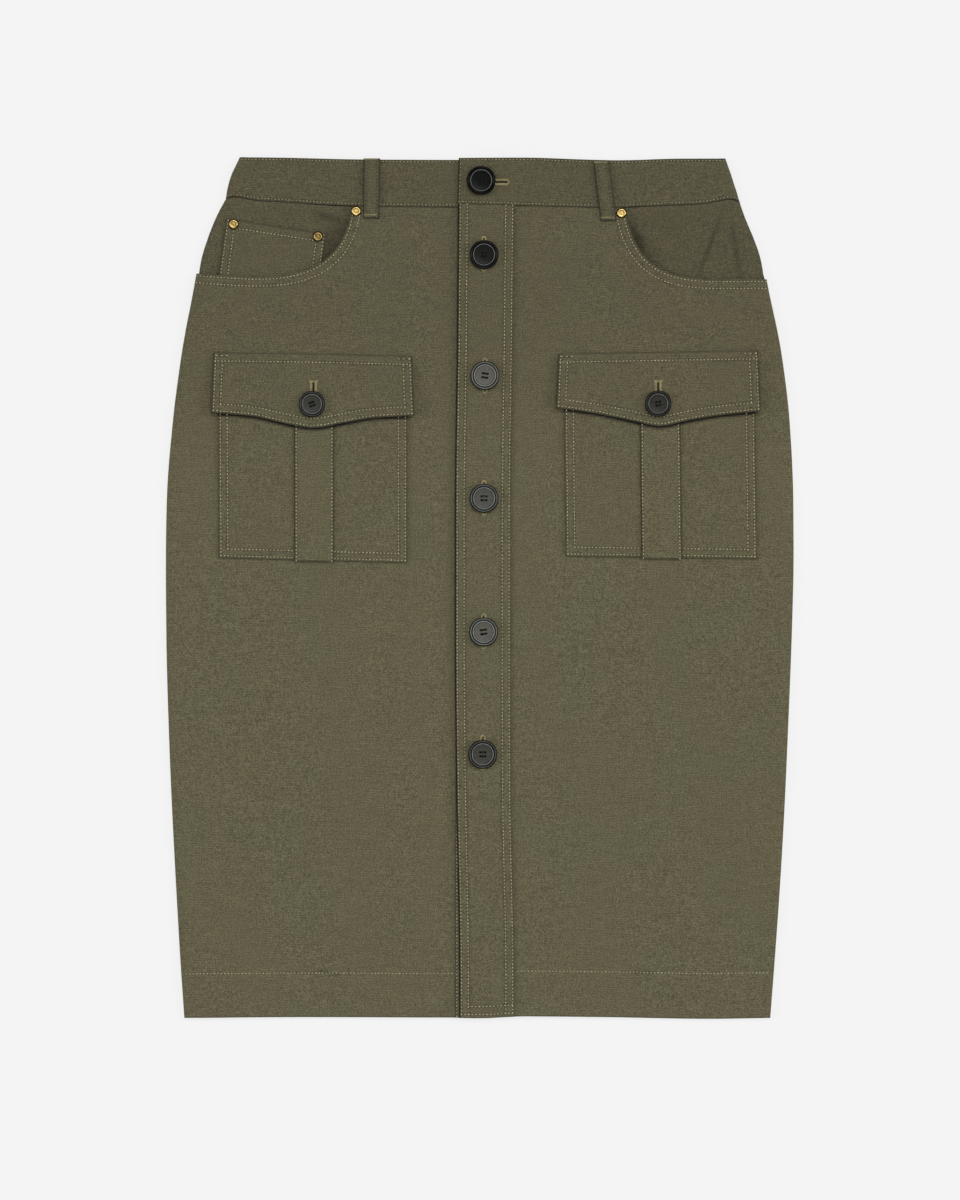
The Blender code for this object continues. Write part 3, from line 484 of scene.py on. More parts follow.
@cache
def brass_material():
    """Brass, pressed and tumbled: warm metal with a scuffed, slightly aged face."""
    made, add, shader = new_material("rivet_brass_pressed", {"Metallic": 1.0, "Roughness": 0.36})
    age, aged = mottle(add, 1.8, 1.8, 0.62, 1.1, detail=4.0, roughness=0.65)
    # Painted light with tarnish: the flange is painted dark as shade, the raised ring pale as highlight.
    wear = add("ShaderNodeAttribute", attribute_name="wear")["Fac"]
    painted_light_and_tarnish = add(
        "ShaderNodeMapRange", {"Value": wear}, {"From Min": -1.0, "To Min": 0.03, "To Max": 1.25})
    shade = add("ShaderNodeMath", {0: aged, 1: painted_light_and_tarnish[0]}, operation="MULTIPLY")
    add("ShaderNodeHueSaturation", {"Value": shade[0]},
        {"Color": rgba(bpy.context.scene.skirt_rivets.colour)}, into=shader["Base Color"])
    add("ShaderNodeBump", {"Height": age}, {"Strength": 0.4, "Distance": 0.1 * MM}, into=shader["Normal"])
    return made


# ---- meshes

def add_object(name, data):
    """An object of a mesh, a light or a camera, in the scene."""
    made = bpy.data.objects.new(name, data)
    bpy.context.scene.collection.objects.link(made)
    return made


def add_piece(name, mesh):
    """An object of a mesh, riding on the skirt."""
    made = add_object(name, mesh)
    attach(made, "root")
    return made


def baked(made):
    """The mesh that an object's modifiers give; the object goes, with its own mesh."""
    shape = made.evaluated_get(bpy.context.evaluated_depsgraph_get())
    mesh = bpy.data.meshes.new_from_object(shape)
    bpy.data.meshes.remove(made.data)
    return mesh


def written(work, name):
    """A mesh of a bmesh, which is freed."""
    mesh = bpy.data.meshes.new(name)
    work.to_mesh(mesh)
    work.free()
    return mesh


def welded(node):
    """A copy of a CAD node's mesh, with its loose triangles joined up."""
    work = bmesh.new()
    work.from_mesh(NODES[node].data)
    bmesh.ops.remove_doubles(work, verts=work.verts, dist=0.002 * MM)
    return work


def smooth_form(node):
    """A tree of a node's form with its broad faces smoothed and its rims kept."""
    work = welded(node)
    bmesh.ops.join_triangles(
        work, faces=work.faces, angle_face_threshold=BROAD, angle_shape_threshold=radians(70.0))
    crease = work.edges.layers.float.new("crease_edge")
    for edge in work.edges:
        if edge.calc_face_angle(0.0) > BROAD:
            edge[crease] = 1.0
    form = add_object(node + "_form", written(work, node + "_form"))
    rounded = form.modifiers.new("rounded", "SUBSURF")
    rounded.levels = 2
    tree = BVHTree.FromObject(form, bpy.context.evaluated_depsgraph_get())
    bpy.data.meshes.remove(form.data)
    return tree


# ---- outlines

Row = namedtuple("Row", "side inset start end")


def rows_along(sides, insets, start=None, end=None):
    """Rows along several sides; left without a start or an end, they stop where they meet."""
    return tuple(
        Row(side, inset, inset if start is None else start, -inset if end is None else end)
        for side in sides for inset in insets)


def arc(points):
    """Distance along a line at each of its points."""
    steps = np.linalg.norm(np.diff(points, axis=0), axis=1)
    return np.concatenate([[0.0], np.cumsum(steps)])


def along_line(points, spots):
    """Places at given distances along a line."""
    run = arc(points)
    return np.stack([np.interp(spots, run, points[:, a]) for a in range(points.shape[1])], axis=1)


def distance_to(places, line):
    """Distance from each place to a line, and how far along it the nearest point is."""
    best = np.full(len(places), 1e9)
    at = np.zeros(len(places))
    for start, step, run in zip(line, np.diff(line, axis=0), arc(line)):
        size = float(step @ step) + 1e-12
        share = np.clip(((places - start) @ step) / size, 0.0, 1.0)
        away = np.linalg.norm(places - start - share[:, None] * step, axis=1)
        nearer = away < best
        best[nearer] = away[nearer]
        at[nearer] = run + share[nearer] * sqrt(size)
    return best, at


def smoothed(points, steps=6):
    """A curve through the points of a line, which keeps its sharp corners."""
    headings = np.diff(points, axis=0)
    headings /= np.linalg.norm(headings, axis=1)[:, None]
    turns = (headings[1:] * headings[:-1]).sum(axis=1) < cos(KINK)
    kinks = [0, *(np.nonzero(turns)[0] + 1), len(points) - 1]
    t = np.arange(1, steps + 1)[:, None] / steps
    result = [points[:1]]
    for first, last in zip(kinks, kinks[1:]):
        run = points[first:last + 1]
        run = np.vstack([2.0 * run[0] - run[1], run, 2.0 * run[-1] - run[-2]])
        roots = np.linalg.norm(np.diff(run, axis=0), axis=1) ** 0.5
        for i in range(1, len(run) - 2):
            before, here, there, after = run[i - 1:i + 3]
            a, b, c = roots[i - 1:i + 2]
            out = ((here - before) / a - (there - before) / (a + b) + (there - here) / b) * b
            into = ((there - here) / b - (after - here) / (b + c) + (after - there) / c) * b
            result.append(
                here * (2 * t ** 3 - 3 * t * t + 1) + out * (t ** 3 - 2 * t * t + t)
                + there * (3 * t * t - 2 * t ** 3) + into * (t ** 3 - t * t))
    return np.vstack(result)


def outline(node, facing):
    """The four sides of a node's upper or lower face."""
    work = welded(node)
    for face in work.faces:
        face.tag = face.normal.z * facing > 0.02
    after = {}
    for face in work.faces:
        for loop in face.loops if face.tag else ():
            if not loop.link_loop_radial_next.face.tag:
                after[loop.vert.index] = loop.link_loop_next.vert.index
    ring = [min(after)]
    while after[ring[-1]] != ring[0]:
        ring.append(after[ring[-1]])
    work.verts.ensure_lookup_table()
    places = np.array([work.verts[i].co[:2] for i in ring]) / MM
    work.free()
    if facing < 0:
        places = places[::-1]
    x, y = places.T
    corners = [int(np.argmax(reach)) for reach in (-x - y, x - y, x + y, y - x)]
    sides = {}
    for name, first, last in zip(("bottom", "right", "top", "left"), corners, corners[1:] + corners[:1]):
        stop = last if last > first else last + len(places)
        run = places.take(range(first, stop + 1), axis=0, mode="wrap")
        sides[name] = smoothed(run[::-1] if name in ("top", "left") else run)
    return sides


def row_line(sides, row):
    """The line of a row of stitches, set in from a side of a piece."""
    line = sides[row.side]
    total = arc(line)[-1]
    start = total + row.start if row.start < 0.0 else row.start
    end = total + row.end if row.end <= 0.0 else row.end
    line = along_line(line, np.linspace(start, end, max(int((end - start) / 4.0), 2)))
    step = np.gradient(line, axis=0)
    step /= np.linalg.norm(step, axis=1)[:, None]
    turn = 1.0 if row.side in ("bottom", "right") else -1.0
    return line + np.stack([-step[:, 1], step[:, 0]], axis=1) * turn * row.inset


def crowd(length, spacing, edges):
    """Shares of a length, at the given distances from each end and evenly between."""
    low, high = ([spot for spot in edge if spot < length / 2.0] for edge in edges)
    marks = low + [length - spot for spot in reversed(high)]
    lines = marks[:1]
    for start, stop in zip(marks, marks[1:]):
        count = max(int(round((stop - start) / spacing)), 1)
        lines += [mix(start, stop, k / count) for k in range(1, count + 1)]
    return np.array(lines) / length


def patch(sides, across, along):
    """A Coons patch of places between four sides."""
    def spread(line, share, axis):
        key = mix(line[0, axis], line[-1, axis], share)
        rising = np.maximum.accumulate(line[:, axis])
        other = np.interp(key, rising, line[:, 1 - axis])
        return np.stack([key, other] if axis == 0 else [other, key], axis=-1)

    s, t = across[None, :, None], along[:, None, None]
    low, high = (spread(sides[side], across, 0)[None] for side in ("bottom", "top"))
    left, right = (spread(sides[side], along, 1)[:, None] for side in UPRIGHTS)
    flat_low, flat_high = mix(low[:, :1], low[:, -1:], s), mix(high[:, :1], high[:, -1:], s)
    return mix(low, high, t) + mix(left, right, s) - mix(flat_low, flat_high, t)


# ---- cloth

def along_crease(places, crease):
    """How strongly a crease works on each place, and 1 at the height of its middle."""
    line = np.array([[crease.x1, crease.y1], [crease.x2, crease.y2]])
    away, at = distance_to(places, line)
    run = np.clip(0.08 + 0.84 * at / arc(line)[-1], 0.0, 1.0)
    return np.sin(np.pi * run) * np.exp(-(away / crease.width) ** 2)


def broad_swell(x, y):
    """Soft uneven swells that all the layers share, so that they stay in order."""
    height = bpy.context.scene.skirt_fabric.swell
    wide = noise.noise((x / 95.0 + 3.1, y / 150.0 + 0.7, 0.2))
    fine = noise.noise((x / 38.0 + 8.4, y / 60.0 + 2.2, 1.7))
    return height * (0.8 * wide + 0.35 * fine)


def pucker(at, number, away):
    """Small waves that a row of stitches draws into the cloth on both sides of it."""
    wave = noise.noise((at / 4.2, number * 7.3, away / 9.0))
    return PUCKER * wave * exp(-(away / PUCKER_FADE) ** 2)


class Cloth:
    """A piece of cloth over a CAD node: its outline, its heights and its relief.

    Edges are its folded sides, each with how much painted shade darkens the crevice at it,
    and rolls the sides that roll over, each with its radius. Turned is how far the edges are
    turned under, seam the side that reaches into its neighbour's seam, and flap what lies over
    it, which casts a painted shadow on it. Tone is how dark the whole piece is drawn: partly
    its own tone, partly painted shade.
    """

    def __init__(self, node, edges, rows=(), rolls=None, facing=1.0, wall=WALL, turned=0.0,
                 swell=1.0, tone=1.0, seam=None, flap=None):
        self.edges, self.rows, self.rolls = edges, rows, rolls or {}
        self.facing, self.wall, self.turned = facing, wall, turned
        self.swell, self.tone = swell, tone
        self.creases = CREASES.get(node, ())
        self.painted_flap_shadows = [outline(flap, 1.0)["bottom"]] if flap else []
        self.sides = outline(node, facing)
        if seam:
            end, rise = (-1, SEAM_LAP) if seam == "top" else (0, -SEAM_LAP)
            self.sides[seam][:, 1] += rise
            for side in UPRIGHTS:
                self.sides[side][end, 1] += rise
        if node == "coin_pocket":
            left = self.sides["left"]
            left[:, 0] += np.linspace(*COIN_EASE, len(left))
            self.sides["bottom"][0, 0], self.sides["top"][0, 0] = left[0, 0], left[-1, 0]
        self.form = smooth_form(node)
        self.lines = [row_line(self.sides, row) for row in rows]

    def depth(self, places, side):
        """How far in from an upright side the places are, and where that side runs."""
        line = self.sides[side]
        edge = np.interp(places[:, 1], line[:, 1], line[:, 0])
        inward = 1.0 if side == "left" else -1.0
        return (places[:, 0] - edge) * inward, edge, inward

    def inward(self, places):
        """How far in from each folded side the places are, and how much painted shade darkens its
        crevice.
        """
        return [(distance_to(places, self.sides[side])[0], dark) for side, dark in self.edges.items()]

    def cast(self, x, y):
        """Height of the CAD form at a place, or that of the nearest point beside it."""
        start = Vector((x * MM, y * MM, CLEAR * MM * self.facing))
        hit = self.form.ray_cast(start, Vector((0.0, 0.0, -self.facing)))[0]
        if hit is None:
            start.z = NEAR * MM * self.facing
            hit = self.form.find_nearest(start)[0]
        return hit.z / MM

    def base(self, places):
        """Heights of the CAD form at places, with its rolled sides drawn smooth."""
        inside = places.copy()
        shares = np.ones(len(places))
        for side, radius in self.rolls.items():
            depth, edge, inward = self.depth(places, side)
            near = depth < radius
            share = np.clip(depth[near] / radius, 0.0, 1.0)
            shares[near] = np.sqrt(1.0 - (1.0 - share) ** 2)
            inside[near, 0] = edge[near] + inward * radius
        heights = np.array([self.cast(x, y) for x, y in inside])
        return mix(FRONT_TIP if self.facing > 0.0 else BACK_TIP, heights, shares)

    def soft(self, places):
        """Swells and creases, which both faces of the cloth share."""
        raised = np.zeros(len(places))
        if self.swell:
            raised += self.swell * np.array([broad_swell(x, y) for x, y in places])
        for crease in self.creases:
            raised += crease.height * along_crease(places, crease)
        for side in self.rolls:
            raised *= ease(1.0, SIDE_FADE, self.depth(places, side)[0])
        return raised * self.facing

    def sewn(self, places):
        """Turned edges, sunken rows of stitches and their puckers, on the worked face."""
        raised = np.zeros(len(places))
        ends = [self.turned + step for step in TURNED_STEP]
        for away, _ in self.inward(places) if self.turned else ():
            raised = np.maximum(raised, TURNED_RISE * (1.0 - ease(*ends, away)))
        for number, line in enumerate(self.lines):
            away, at = distance_to(places, line)
            raised -= ROW_DEPTH * np.exp(-(away / ROW_WIDTH) ** 2)
            for i in np.nonzero(away < PUCKER_REACH)[0]:
                raised[i] += pucker(at[i], number, away[i])
        return raised * self.facing

    def fold(self, places):
        """How much each face draws in where a folded edge is rounded."""
        drawn = np.zeros(len(places))
        for away, _ in self.inward(places):
            share = np.clip(away / (FOLD_ROUND * self.wall), 0.0, 1.0)
            drawn = np.maximum(drawn, 1.0 - np.sqrt(1.0 - (1.0 - share) ** 2))
        return FOLD_DEPTH * self.wall * drawn * self.facing

    def faces(self, places):
        """Heights of the worked face and of the hidden one; a wall thins where it rolls over."""
        form, fold = self.base(places) + self.soft(places), self.fold(places)
        wall = np.full(len(places), self.wall)
        for side, radius in self.rolls.items():
            wall *= mix(THIN_SHARE, 1.0, ease(0.0, radius, self.depth(places, side)[0]))
        return form + self.sewn(places) - fold, form - self.facing * wall + fold

    def tones(self, places):
        """Painted shade towards the waist, along rows of stitches, in crevices at folded edges, below a
        flap and in creases; painted highlight with wear on folded edges' crests; and the piece's tone.
        """
        rim = np.ones(len(places))
        # Painted shade in the crevice at each folded edge.
        for away, dark in self.inward(places):
            rim = np.minimum(rim, 1.0 - dark * (1.0 - ease(*RIM_FADE, away)))
            # Painted highlight, with wear, on the crest of each folded edge.
            rim += EDGE_WEAR_AND_HIGHLIGHT * np.exp(-((away - PALE_AT) / PALE_WIDTH) ** 2)
        # Painted shade along each row of stitches, where it sinks into the cloth.
        for line in self.lines:
            rim *= 1.0 - ROW_PAINTED_SHADE * np.exp(-(distance_to(places, line)[0] / ROW_SHADE) ** 2)
        # Painted shadow below the bottom edge of a flap.
        for line in self.painted_flap_shadows:
            rim *= 1.0 - FLAP_PAINTED_SHADOW * np.exp(-(distance_to(places, line)[0] / FLAP_SHADOW_REACH) ** 4)
        # Painted shade along creases and inside the pocket mouths.
        for crease in self.creases:
            rim *= 1.0 - crease.shade * along_crease(places, crease)
        # Painted shade, darker towards the waist.
        return rim * self.tone * (1.0 - WAIST_PAINTED_SHADE * ease(*TOP_SPAN, places[:, 1]))

    def stations(self, side):
        """Distances in from a side at which its grid lines crowd."""
        if side in self.rolls:
            return ROLLED
        spots = set(EDGE if side in self.edges else PLAIN)
        for row in self.rows:
            if row.side == side:
                spots |= {round(row.inset + step, 2) for step in (-0.5, 0.0, 0.5)}
        if self.turned and side in self.edges:
            spots |= {self.turned + 0.3, self.turned + TURNED_STEP[1]}
        return sorted(spots)

    def grid(self, spacing, by_arc):
        """A grid of places between the four sides, as an array of rows and columns."""
        low, high = self.sides["bottom"], self.sides["top"]
        run = arc(high) if by_arc else high[:, 0] - high[0, 0]
        spots = crowd(run[-1], spacing, [self.stations(side) for side in UPRIGHTS]) * run[-1]
        across = (np.interp(spots, run, high[:, 0]) - high[0, 0]) / (high[-1, 0] - high[0, 0])
        height = high[:, 1].mean() - low[:, 1].mean()
        along = crowd(height, spacing, [self.stations(side) for side in ("bottom", "top")])
        return patch(self.sides, across, along)

    def shell(self, name, grid):
        """A closed shell: the worked face, the other face and a rim between them."""
        places = grid.reshape(-1, 2)
        faces = [np.column_stack([places, heights]) * MM for heights in self.faces(places)]
        count = len(places)
        index = np.arange(count).reshape(grid.shape[:2])
        corners = [part.ravel() for part in (
            index[:-1, :-1], index[:-1, 1:], index[1:, 1:], index[1:, :-1])]
        rim = np.concatenate([index[0, :-1], index[:-1, -1], index[-1, :0:-1], index[:0:-1, 0]])
        following = np.roll(rim, -1)
        quads = np.concatenate([
            np.stack(corners, axis=1), np.stack(corners[::-1], axis=1) + count,
            np.stack([following, rim, rim + count, following + count], axis=1)])
        if self.facing < 0:
            quads = quads[:, ::-1]
        mesh = bpy.data.meshes.new(name)
        mesh.from_pydata(np.concatenate(faces).tolist(), [], quads.tolist())
        mesh.shade_smooth()
        shades = self.tones(places)
        # The hidden face is painted darker, as shade, and so darkens the rim.
        mesh.attributes.new("tone", "FLOAT", "POINT").data.foreach_set(
            "value", np.concatenate([shades, shades * INSIDE_PAINTED_SHADE]))
        mesh.materials.append(twill_material())
        return add_piece(name, mesh)


def lay_cloth(node, edges, rests_on, spacing=3.0, by_arc=False, sewn_with="topstitching", **cut):
    cloth = Cloth(node, edges, **cut)
    grid = cloth.grid(spacing, by_arc)
    made = cloth.shell("cloth_" + node, grid)
    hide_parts(node)
    extra = [topstitching("stitches_" + node, cloth, thread(sewn_with))] if cloth.lines else []


# ---- stitches

@cache
def stitch_tree():
    """Geometry nodes that sew stitches along every line of a mesh."""
    tree = bpy.data.node_groups.new("sewn_stitches", "GeometryNodeTree")
    for kind, names in (
            ("Geometry", ("Lines",)), ("Int", ("Seed",)), ("Material", ("Finish",)),
            ("Float", ("Pitch", "Stitch", "Thread", "Rise", "Turn", "Up"))):
        for name in names:
            tree.interface.new_socket(name, in_out="INPUT", socket_type="NodeSocket" + kind)
    tree.interface.new_socket("Stitches", in_out="OUTPUT", socket_type="NodeSocketGeometry")
    add = partial(add_node, tree)
    given = add("NodeGroupInput")

    # One stitch: an arch of thread whose ends dive into the cloth.
    half, back, dive, radius = (
        add("ShaderNodeMath", {0: given[name]}, {1: share}, operation="MULTIPLY")[0]
        for name, share in (("Stitch", 0.5), ("Stitch", -0.5), ("Thread", -0.7), ("Thread", 0.5)))
    start, crest, end = (
        add("ShaderNodeCombineXYZ", place)[0]
        for place in ({"X": back, "Z": dive}, {"Z": given["Rise"]}, {"X": half, "Z": dive}))
    arch = add(
        "GeometryNodeCurveQuadraticBezier",
        {"Start": start, "Middle": crest, "End": end}, {"Resolution": 4})
    ring = add("GeometryNodeCurvePrimitiveCircle", {"Radius": radius}, {"Resolution": 6}, mode="RADIUS")
    stitch = add(
        "GeometryNodeCurveToMesh", {"Curve": arch[0], "Profile Curve": ring["Curve"]},
        {"Fill Caps": True})

    lines = add("GeometryNodeMeshToCurve", {"Mesh": given["Lines"]})
    spaced = add(
        "GeometryNodeResampleCurve", {"Curve": lines[0], "Length": given["Pitch"]}, mode="LENGTH")
    heading = add("GeometryNodeInputTangent")
    upright = add("ShaderNodeCombineXYZ", {"Z": given["Up"]})
    laid = add(
        "FunctionNodeAxesToRotation", {"Primary Axis": heading[0], "Secondary Axis": upright[0]},
        primary_axis="X", secondary_axis="Z")
    uneven, sized = (
        add("FunctionNodeRandomValue", {"Seed": given["Seed"]}, {2: low, 3: high},
            data_type="FLOAT")[1]
        for low, high in ((-0.09, 0.09), (0.86, 1.10)))
    angle = add("ShaderNodeMath", {0: given["Turn"], 1: uneven}, operation="ADD")
    spin = add("ShaderNodeCombineXYZ", {"Z": angle[0]})
    turned = add(
        "FunctionNodeRotateRotation", {"Rotation": laid[0], "Rotate By": spin[0]}, rotation_space="LOCAL")
    copies = add(
        "GeometryNodeInstanceOnPoints",
        {"Points": spaced[0], "Instance": stitch[0], "Rotation": turned[0], "Scale": sized})
    real = add("GeometryNodeRealizeInstances", {"Geometry": copies[0]})
    dyed = add("GeometryNodeSetMaterial", {"Geometry": real[0], "Material": given["Finish"]})
    add("NodeGroupOutput", {"Stitches": dyed[0]})
    return tree


def sew(name, lines, finish, pitch, stitch, width, rise, turn=radians(90.0), facing=1.0):
    """Sews stitches along lines of points, turned from them, and makes one mesh of them."""
    verts, edges = [], []
    for line in lines:
        first = len(verts)
        verts += (np.asarray(line) * MM).tolist()
        edges += [(i, i + 1) for i in range(first, len(verts) - 1)]
    mesh = bpy.data.meshes.new(name + "_lines")
    mesh.from_pydata(verts, edges, [])
    guide = add_object(name + "_lines", mesh)
    sewing = guide.modifiers.new("sewing", "NODES")
    sewing.node_group = stitch_tree()
    values = {
        "Pitch": pitch * MM, "Stitch": stitch * MM, "Thread": width * MM, "Rise": rise * MM,
        "Turn": turn, "Up": facing, "Seed": bpy.context.scene.skirt_stitching.seed, "Finish": finish,
    }
    for item in sewing.node_group.interface.items_tree:
        if item.name in values:
            sewing[item.identifier] = values[item.name]
    sewn = baked(guide)
    sewn.name = name
    sewn.shade_smooth()
    return add_piece(name, sewn)


def topstitching(name, cloth, finish):
    """The rows of stitches of a piece of cloth, laid on its worked face."""
    settings = bpy.context.scene.skirt_stitching
    pitch, length, width = (size / MM for size in (settings.pitch, settings.length, settings.thread))
    laid = []
    for line in cloth.lines:
        run = arc(line)[-1]
        places = along_line(line, np.linspace(0.0, run, max(int(run / 1.4), 3)))
        heights = np.maximum(cloth.faces(places)[0] + cloth.facing * LIFT, LOWEST)
        laid.append(np.column_stack([places, heights]))
    return sew(name, laid, finish, pitch, length, width, rise=TOP_RISE * width, turn=0.0,
               facing=cloth.facing)


def laid_on(piece, places, lift):
    """Places with their heights on the upper side of a made piece."""
    tree = BVHTree.FromObject(bpy.data.objects["cloth_" + piece], bpy.context.evaluated_depsgraph_get())
    down = Vector((0.0, 0.0, -1.0))
    hits = [tree.ray_cast(Vector((x * MM, y * MM, CLEAR * MM)), down)[0] for x, y in places]
    return np.column_stack([places, np.array([hit.z / MM for hit in hits]) + lift])


def add_slit_shadow(name, line, reach, angle):
    """A dark closed strip along a line: painted shadow inside the cut of a buttonhole."""
    side = np.array([-sin(angle), cos(angle), 0.0]) * reach
    up = np.array([0.0, 0.0, SLIT_HALF_WALL])
    corners = [line - side - up, line + side - up, line + side + up, line - side + up]
    count = len(line)
    faces = [[k * count for k in (3, 2, 1, 0)], [k * count + count - 1 for k in range(4)]]
    for i in range(count - 1):
        for low, high in ((0, 1), (1, 2), (2, 3), (3, 0)):
            a, b = low * count + i, high * count + i
            faces.append((b, b + 1, a + 1, a))
    mesh = bpy.data.meshes.new(name)
    mesh.from_pydata((np.concatenate(corners) * MM).tolist(), [], faces)
    mesh.materials.append(thread("cut"))
    return add_piece(name, mesh)


# ---- hard pieces

def lathe(name, profile, radius, height, segments, dimple=0.0):
    """A closed round body, from the middle of its base to the middle of its face."""
    work = bmesh.new()
    rubbed = work.verts.layers.float.new("wear")
    rings = [[work.verts.new()]]
    for row in profile:
        ring = []
        for k in range(segments if row.radius else 1):
            turn = 2.0 * pi * k / segments
            x, y = row.radius * radius * cos(turn), row.radius * radius * sin(turn)
            z = row.height * height
            if 0.0 < row.radius < BEATEN_WITHIN:
                z += dimple * noise.noise((x / BEATEN, y / BEATEN, radius))
            ring.append(work.verts.new((x * MM, y * MM, z * MM)))
            ring[-1][rubbed] = row.wear
        rings.append(ring)
    for lower, upper in zip(rings, rings[1:]):
        for k in range(segments):
            n = (k + 1) % segments
            corners = [lower[k % len(lower)], lower[n % len(lower)],
                       upper[n % len(upper)], upper[k % len(upper)]]
            work.faces.new(list(dict.fromkeys(corners)))
    return written(work, name)


def pierced(mesh, radius, across, along):
    """A button's mesh with four holes of a radius, in metres, cut through it."""
    body = add_object(mesh.name + "_body", mesh)
    work = bmesh.new()
    for x in (-across / 2.0, across / 2.0):
        for y in (-along / 2.0, along / 2.0):
            bmesh.ops.create_cone(
                work, cap_ends=True, segments=24, radius1=radius, radius2=radius,
                depth=DRILL * MM, matrix=Matrix.Translation((x * MM, y * MM, 0.0)))
    drill = add_object("drill", written(work, "drill"))
    cut = body.modifiers.new("holes", "BOOLEAN")
    cut.operation = "DIFFERENCE"
    cut.object = drill
    made = baked(body)
    bpy.data.meshes.remove(drill.data)
    return made


def measured(node):
    """Middle of a hard piece's base, lifted with the cloth, and its radius and height."""
    low, high = (Vector(corner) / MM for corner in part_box(node))
    x, y, _ = (low + high) / 2.0
    return Vector((x, y, low.z + broad_swell(x, y))), (high.x - low.x) / 2.0, high.z - low.z


def place_round(node, mesh, base, turn, finish):
    """Stands a round body on its base, turned in degrees, in place of a CAD node."""
    mesh.transform(Matrix.Translation(base * MM) @ Matrix.Rotation(radians(turn), 4, "Z"))
    mesh.materials.clear()
    mesh.materials.append(finish)
    mesh.shade_smooth()
    mesh.set_sharp_from_angle(angle=SHARP)
    made = add_piece("turned_" + node, mesh)
    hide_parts(node)


# ---- operators

class SKIRT_OT_back(Operator):
    """Lay the back panel and its waistband"""
    bl_idname = "skirt.back"
    bl_label = "Back"

    def execute(self, context):
        back = {"rolls": dict.fromkeys(UPRIGHTS, BACK_ROLL), "facing": -1.0, "swell": 0.0}
        lay_cloth("back_panel", {"bottom": 0.3}, ["ground"], spacing=4.5, seam="top",
                  rows=(Row("bottom", BACK_HEM_ROW, 3.0, -3.0),), **back)
        lay_cloth("waistband_back", {"bottom": 0.5, "top": 0.2}, ["ground"], spacing=4.0,
                  seam="bottom", rows=rows_along(("top", "bottom"), (BAND_ROW,), 3.0, -3.0), **back)
        return {"FINISHED"}


class SKIRT_OT_hip_pockets(Operator):
    """Lay the cloth inside the hip pockets and the coin pocket on it"""
    bl_idname = "skirt.hip_pockets"
    bl_label = "Hip Pockets"

    def execute(self, context):
        for side, tone in FACING_TONES.items():
            lay_cloth("hip_facing_" + side, {"top": 0.0}, ["back_panel"], spacing=1.5,
                      rolls={side: FACING_ROLL}, swell=0.0, tone=tone)
        rows = [Row("top", 6.1, 6.0, -4.0)]
        for side in UPRIGHTS:
            rows += [Row(side, EDGE_ROWS[0], 0.0, -1.0), Row(side, EDGE_ROWS[1], 0.0, -6.1)]
        lay_cloth("coin_pocket", {"top": 0.35, "left": 0.45, "right": 0.5},
                  ["hip_facing_left"], spacing=2.2, rows=rows, swell=0.0, tone=0.95, turned=7.0)
        return {"FINISHED"}


class SKIRT_OT_fronts(Operator):
    """Lay the two front panels with their pocket edges and hem"""
    bl_idname = "skirt.fronts"
    bl_label = "Fronts"

    def execute(self, context):
        for side, mouth in MOUTH_ARCS.items():
            lay_cloth(
                "front_panel_" + side, {"bottom": 0.25, "top": 0.15},
                ["back_panel", "hip_facing_" + side], by_arc=True,
                rows=(*rows_along(("top",), EDGE_ROWS, *mouth),
                      Row("bottom", HEM_ROWS[side], 2.0, -2.0)),
                rolls={side: FRONT_ROLL}, turned=7.0)
        return {"FINISHED"}


class SKIRT_OT_centre_front(Operator):
    """Lay the button stand and the placket over it"""
    bl_idname = "skirt.centre_front"
    bl_label = "Centre Front"

    def execute(self, context):
        lay_cloth("button_stand", {"bottom": 0.25, "left": 0.4}, ["front_panel_left"],
                  rows=(Row("left", 1.3, 1.0, UNDER_PLACKET),))
        lay_cloth(
            "placket", {"left": 1.0, "right": 0.35, "bottom": 0.25},
            ["button_stand", "front_panel_right"], spacing=2.4, wall=FOLDED, tone=0.985,
            rows=(*rows_along(UPRIGHTS, EDGE_ROWS, 2.9, 0.0),
                  Row("bottom", 2.9, 1.8, -1.8), Row("bottom", 9.0, 7.0, -1.8)))
        return {"FINISHED"}


class SKIRT_OT_waistband(Operator):
    """Lay the front waistband, its right end over its left"""
    bl_idname = "skirt.waistband"
    bl_label = "Waistband"

    def execute(self, context):
        edges = {"bottom": 0.05, "top": 0.2}
        for side, over in (("left", {}), ("right", {"left": 0.75})):
            folded = {**edges, **over}
            lay_cloth("waistband_" + side, folded, ["waistband_back"], spacing=2.4,
                      sewn_with="band", rows=rows_along(folded, (BAND_ROW,)),
                      rolls={side: FRONT_ROLL}, wall=BAND, tone=0.90)
        return {"FINISHED"}


class SKIRT_OT_belt_loops(Operator):
    """Lay the belt loops and sew their bar tacks"""
    bl_idname = "skirt.belt_loops"
    bl_label = "Belt Loops"

    def execute(self, context):
        for loop in LOOPS:
            name = "belt_loop_" + loop.side
            lay_cloth(name, {"left": 0.65, "right": 0.65, "bottom": 0.6, "top": 0.4},
                      ["waistband_" + loop.side], spacing=1.8, sewn_with="loop",
                      rows=rows_along(UPRIGHTS, (2.2,), 1.0, -1.0), wall=FOLDED, tone=0.92)
            tacks = [
                laid_on(name, np.array([
                    (x + k * TACK_PITCH, y + TACK_SWAY * sin(TACK_WAVE * k))
                    for k in TACK_STITCHES]), 0.05)
                for x, y in (loop.bottom, loop.top)]
            sew("bar_tacks_" + name, tacks, thread("tack"),
                pitch=TACK_PITCH, stitch=1.1, width=0.42, rise=0.4)
        return {"FINISHED"}


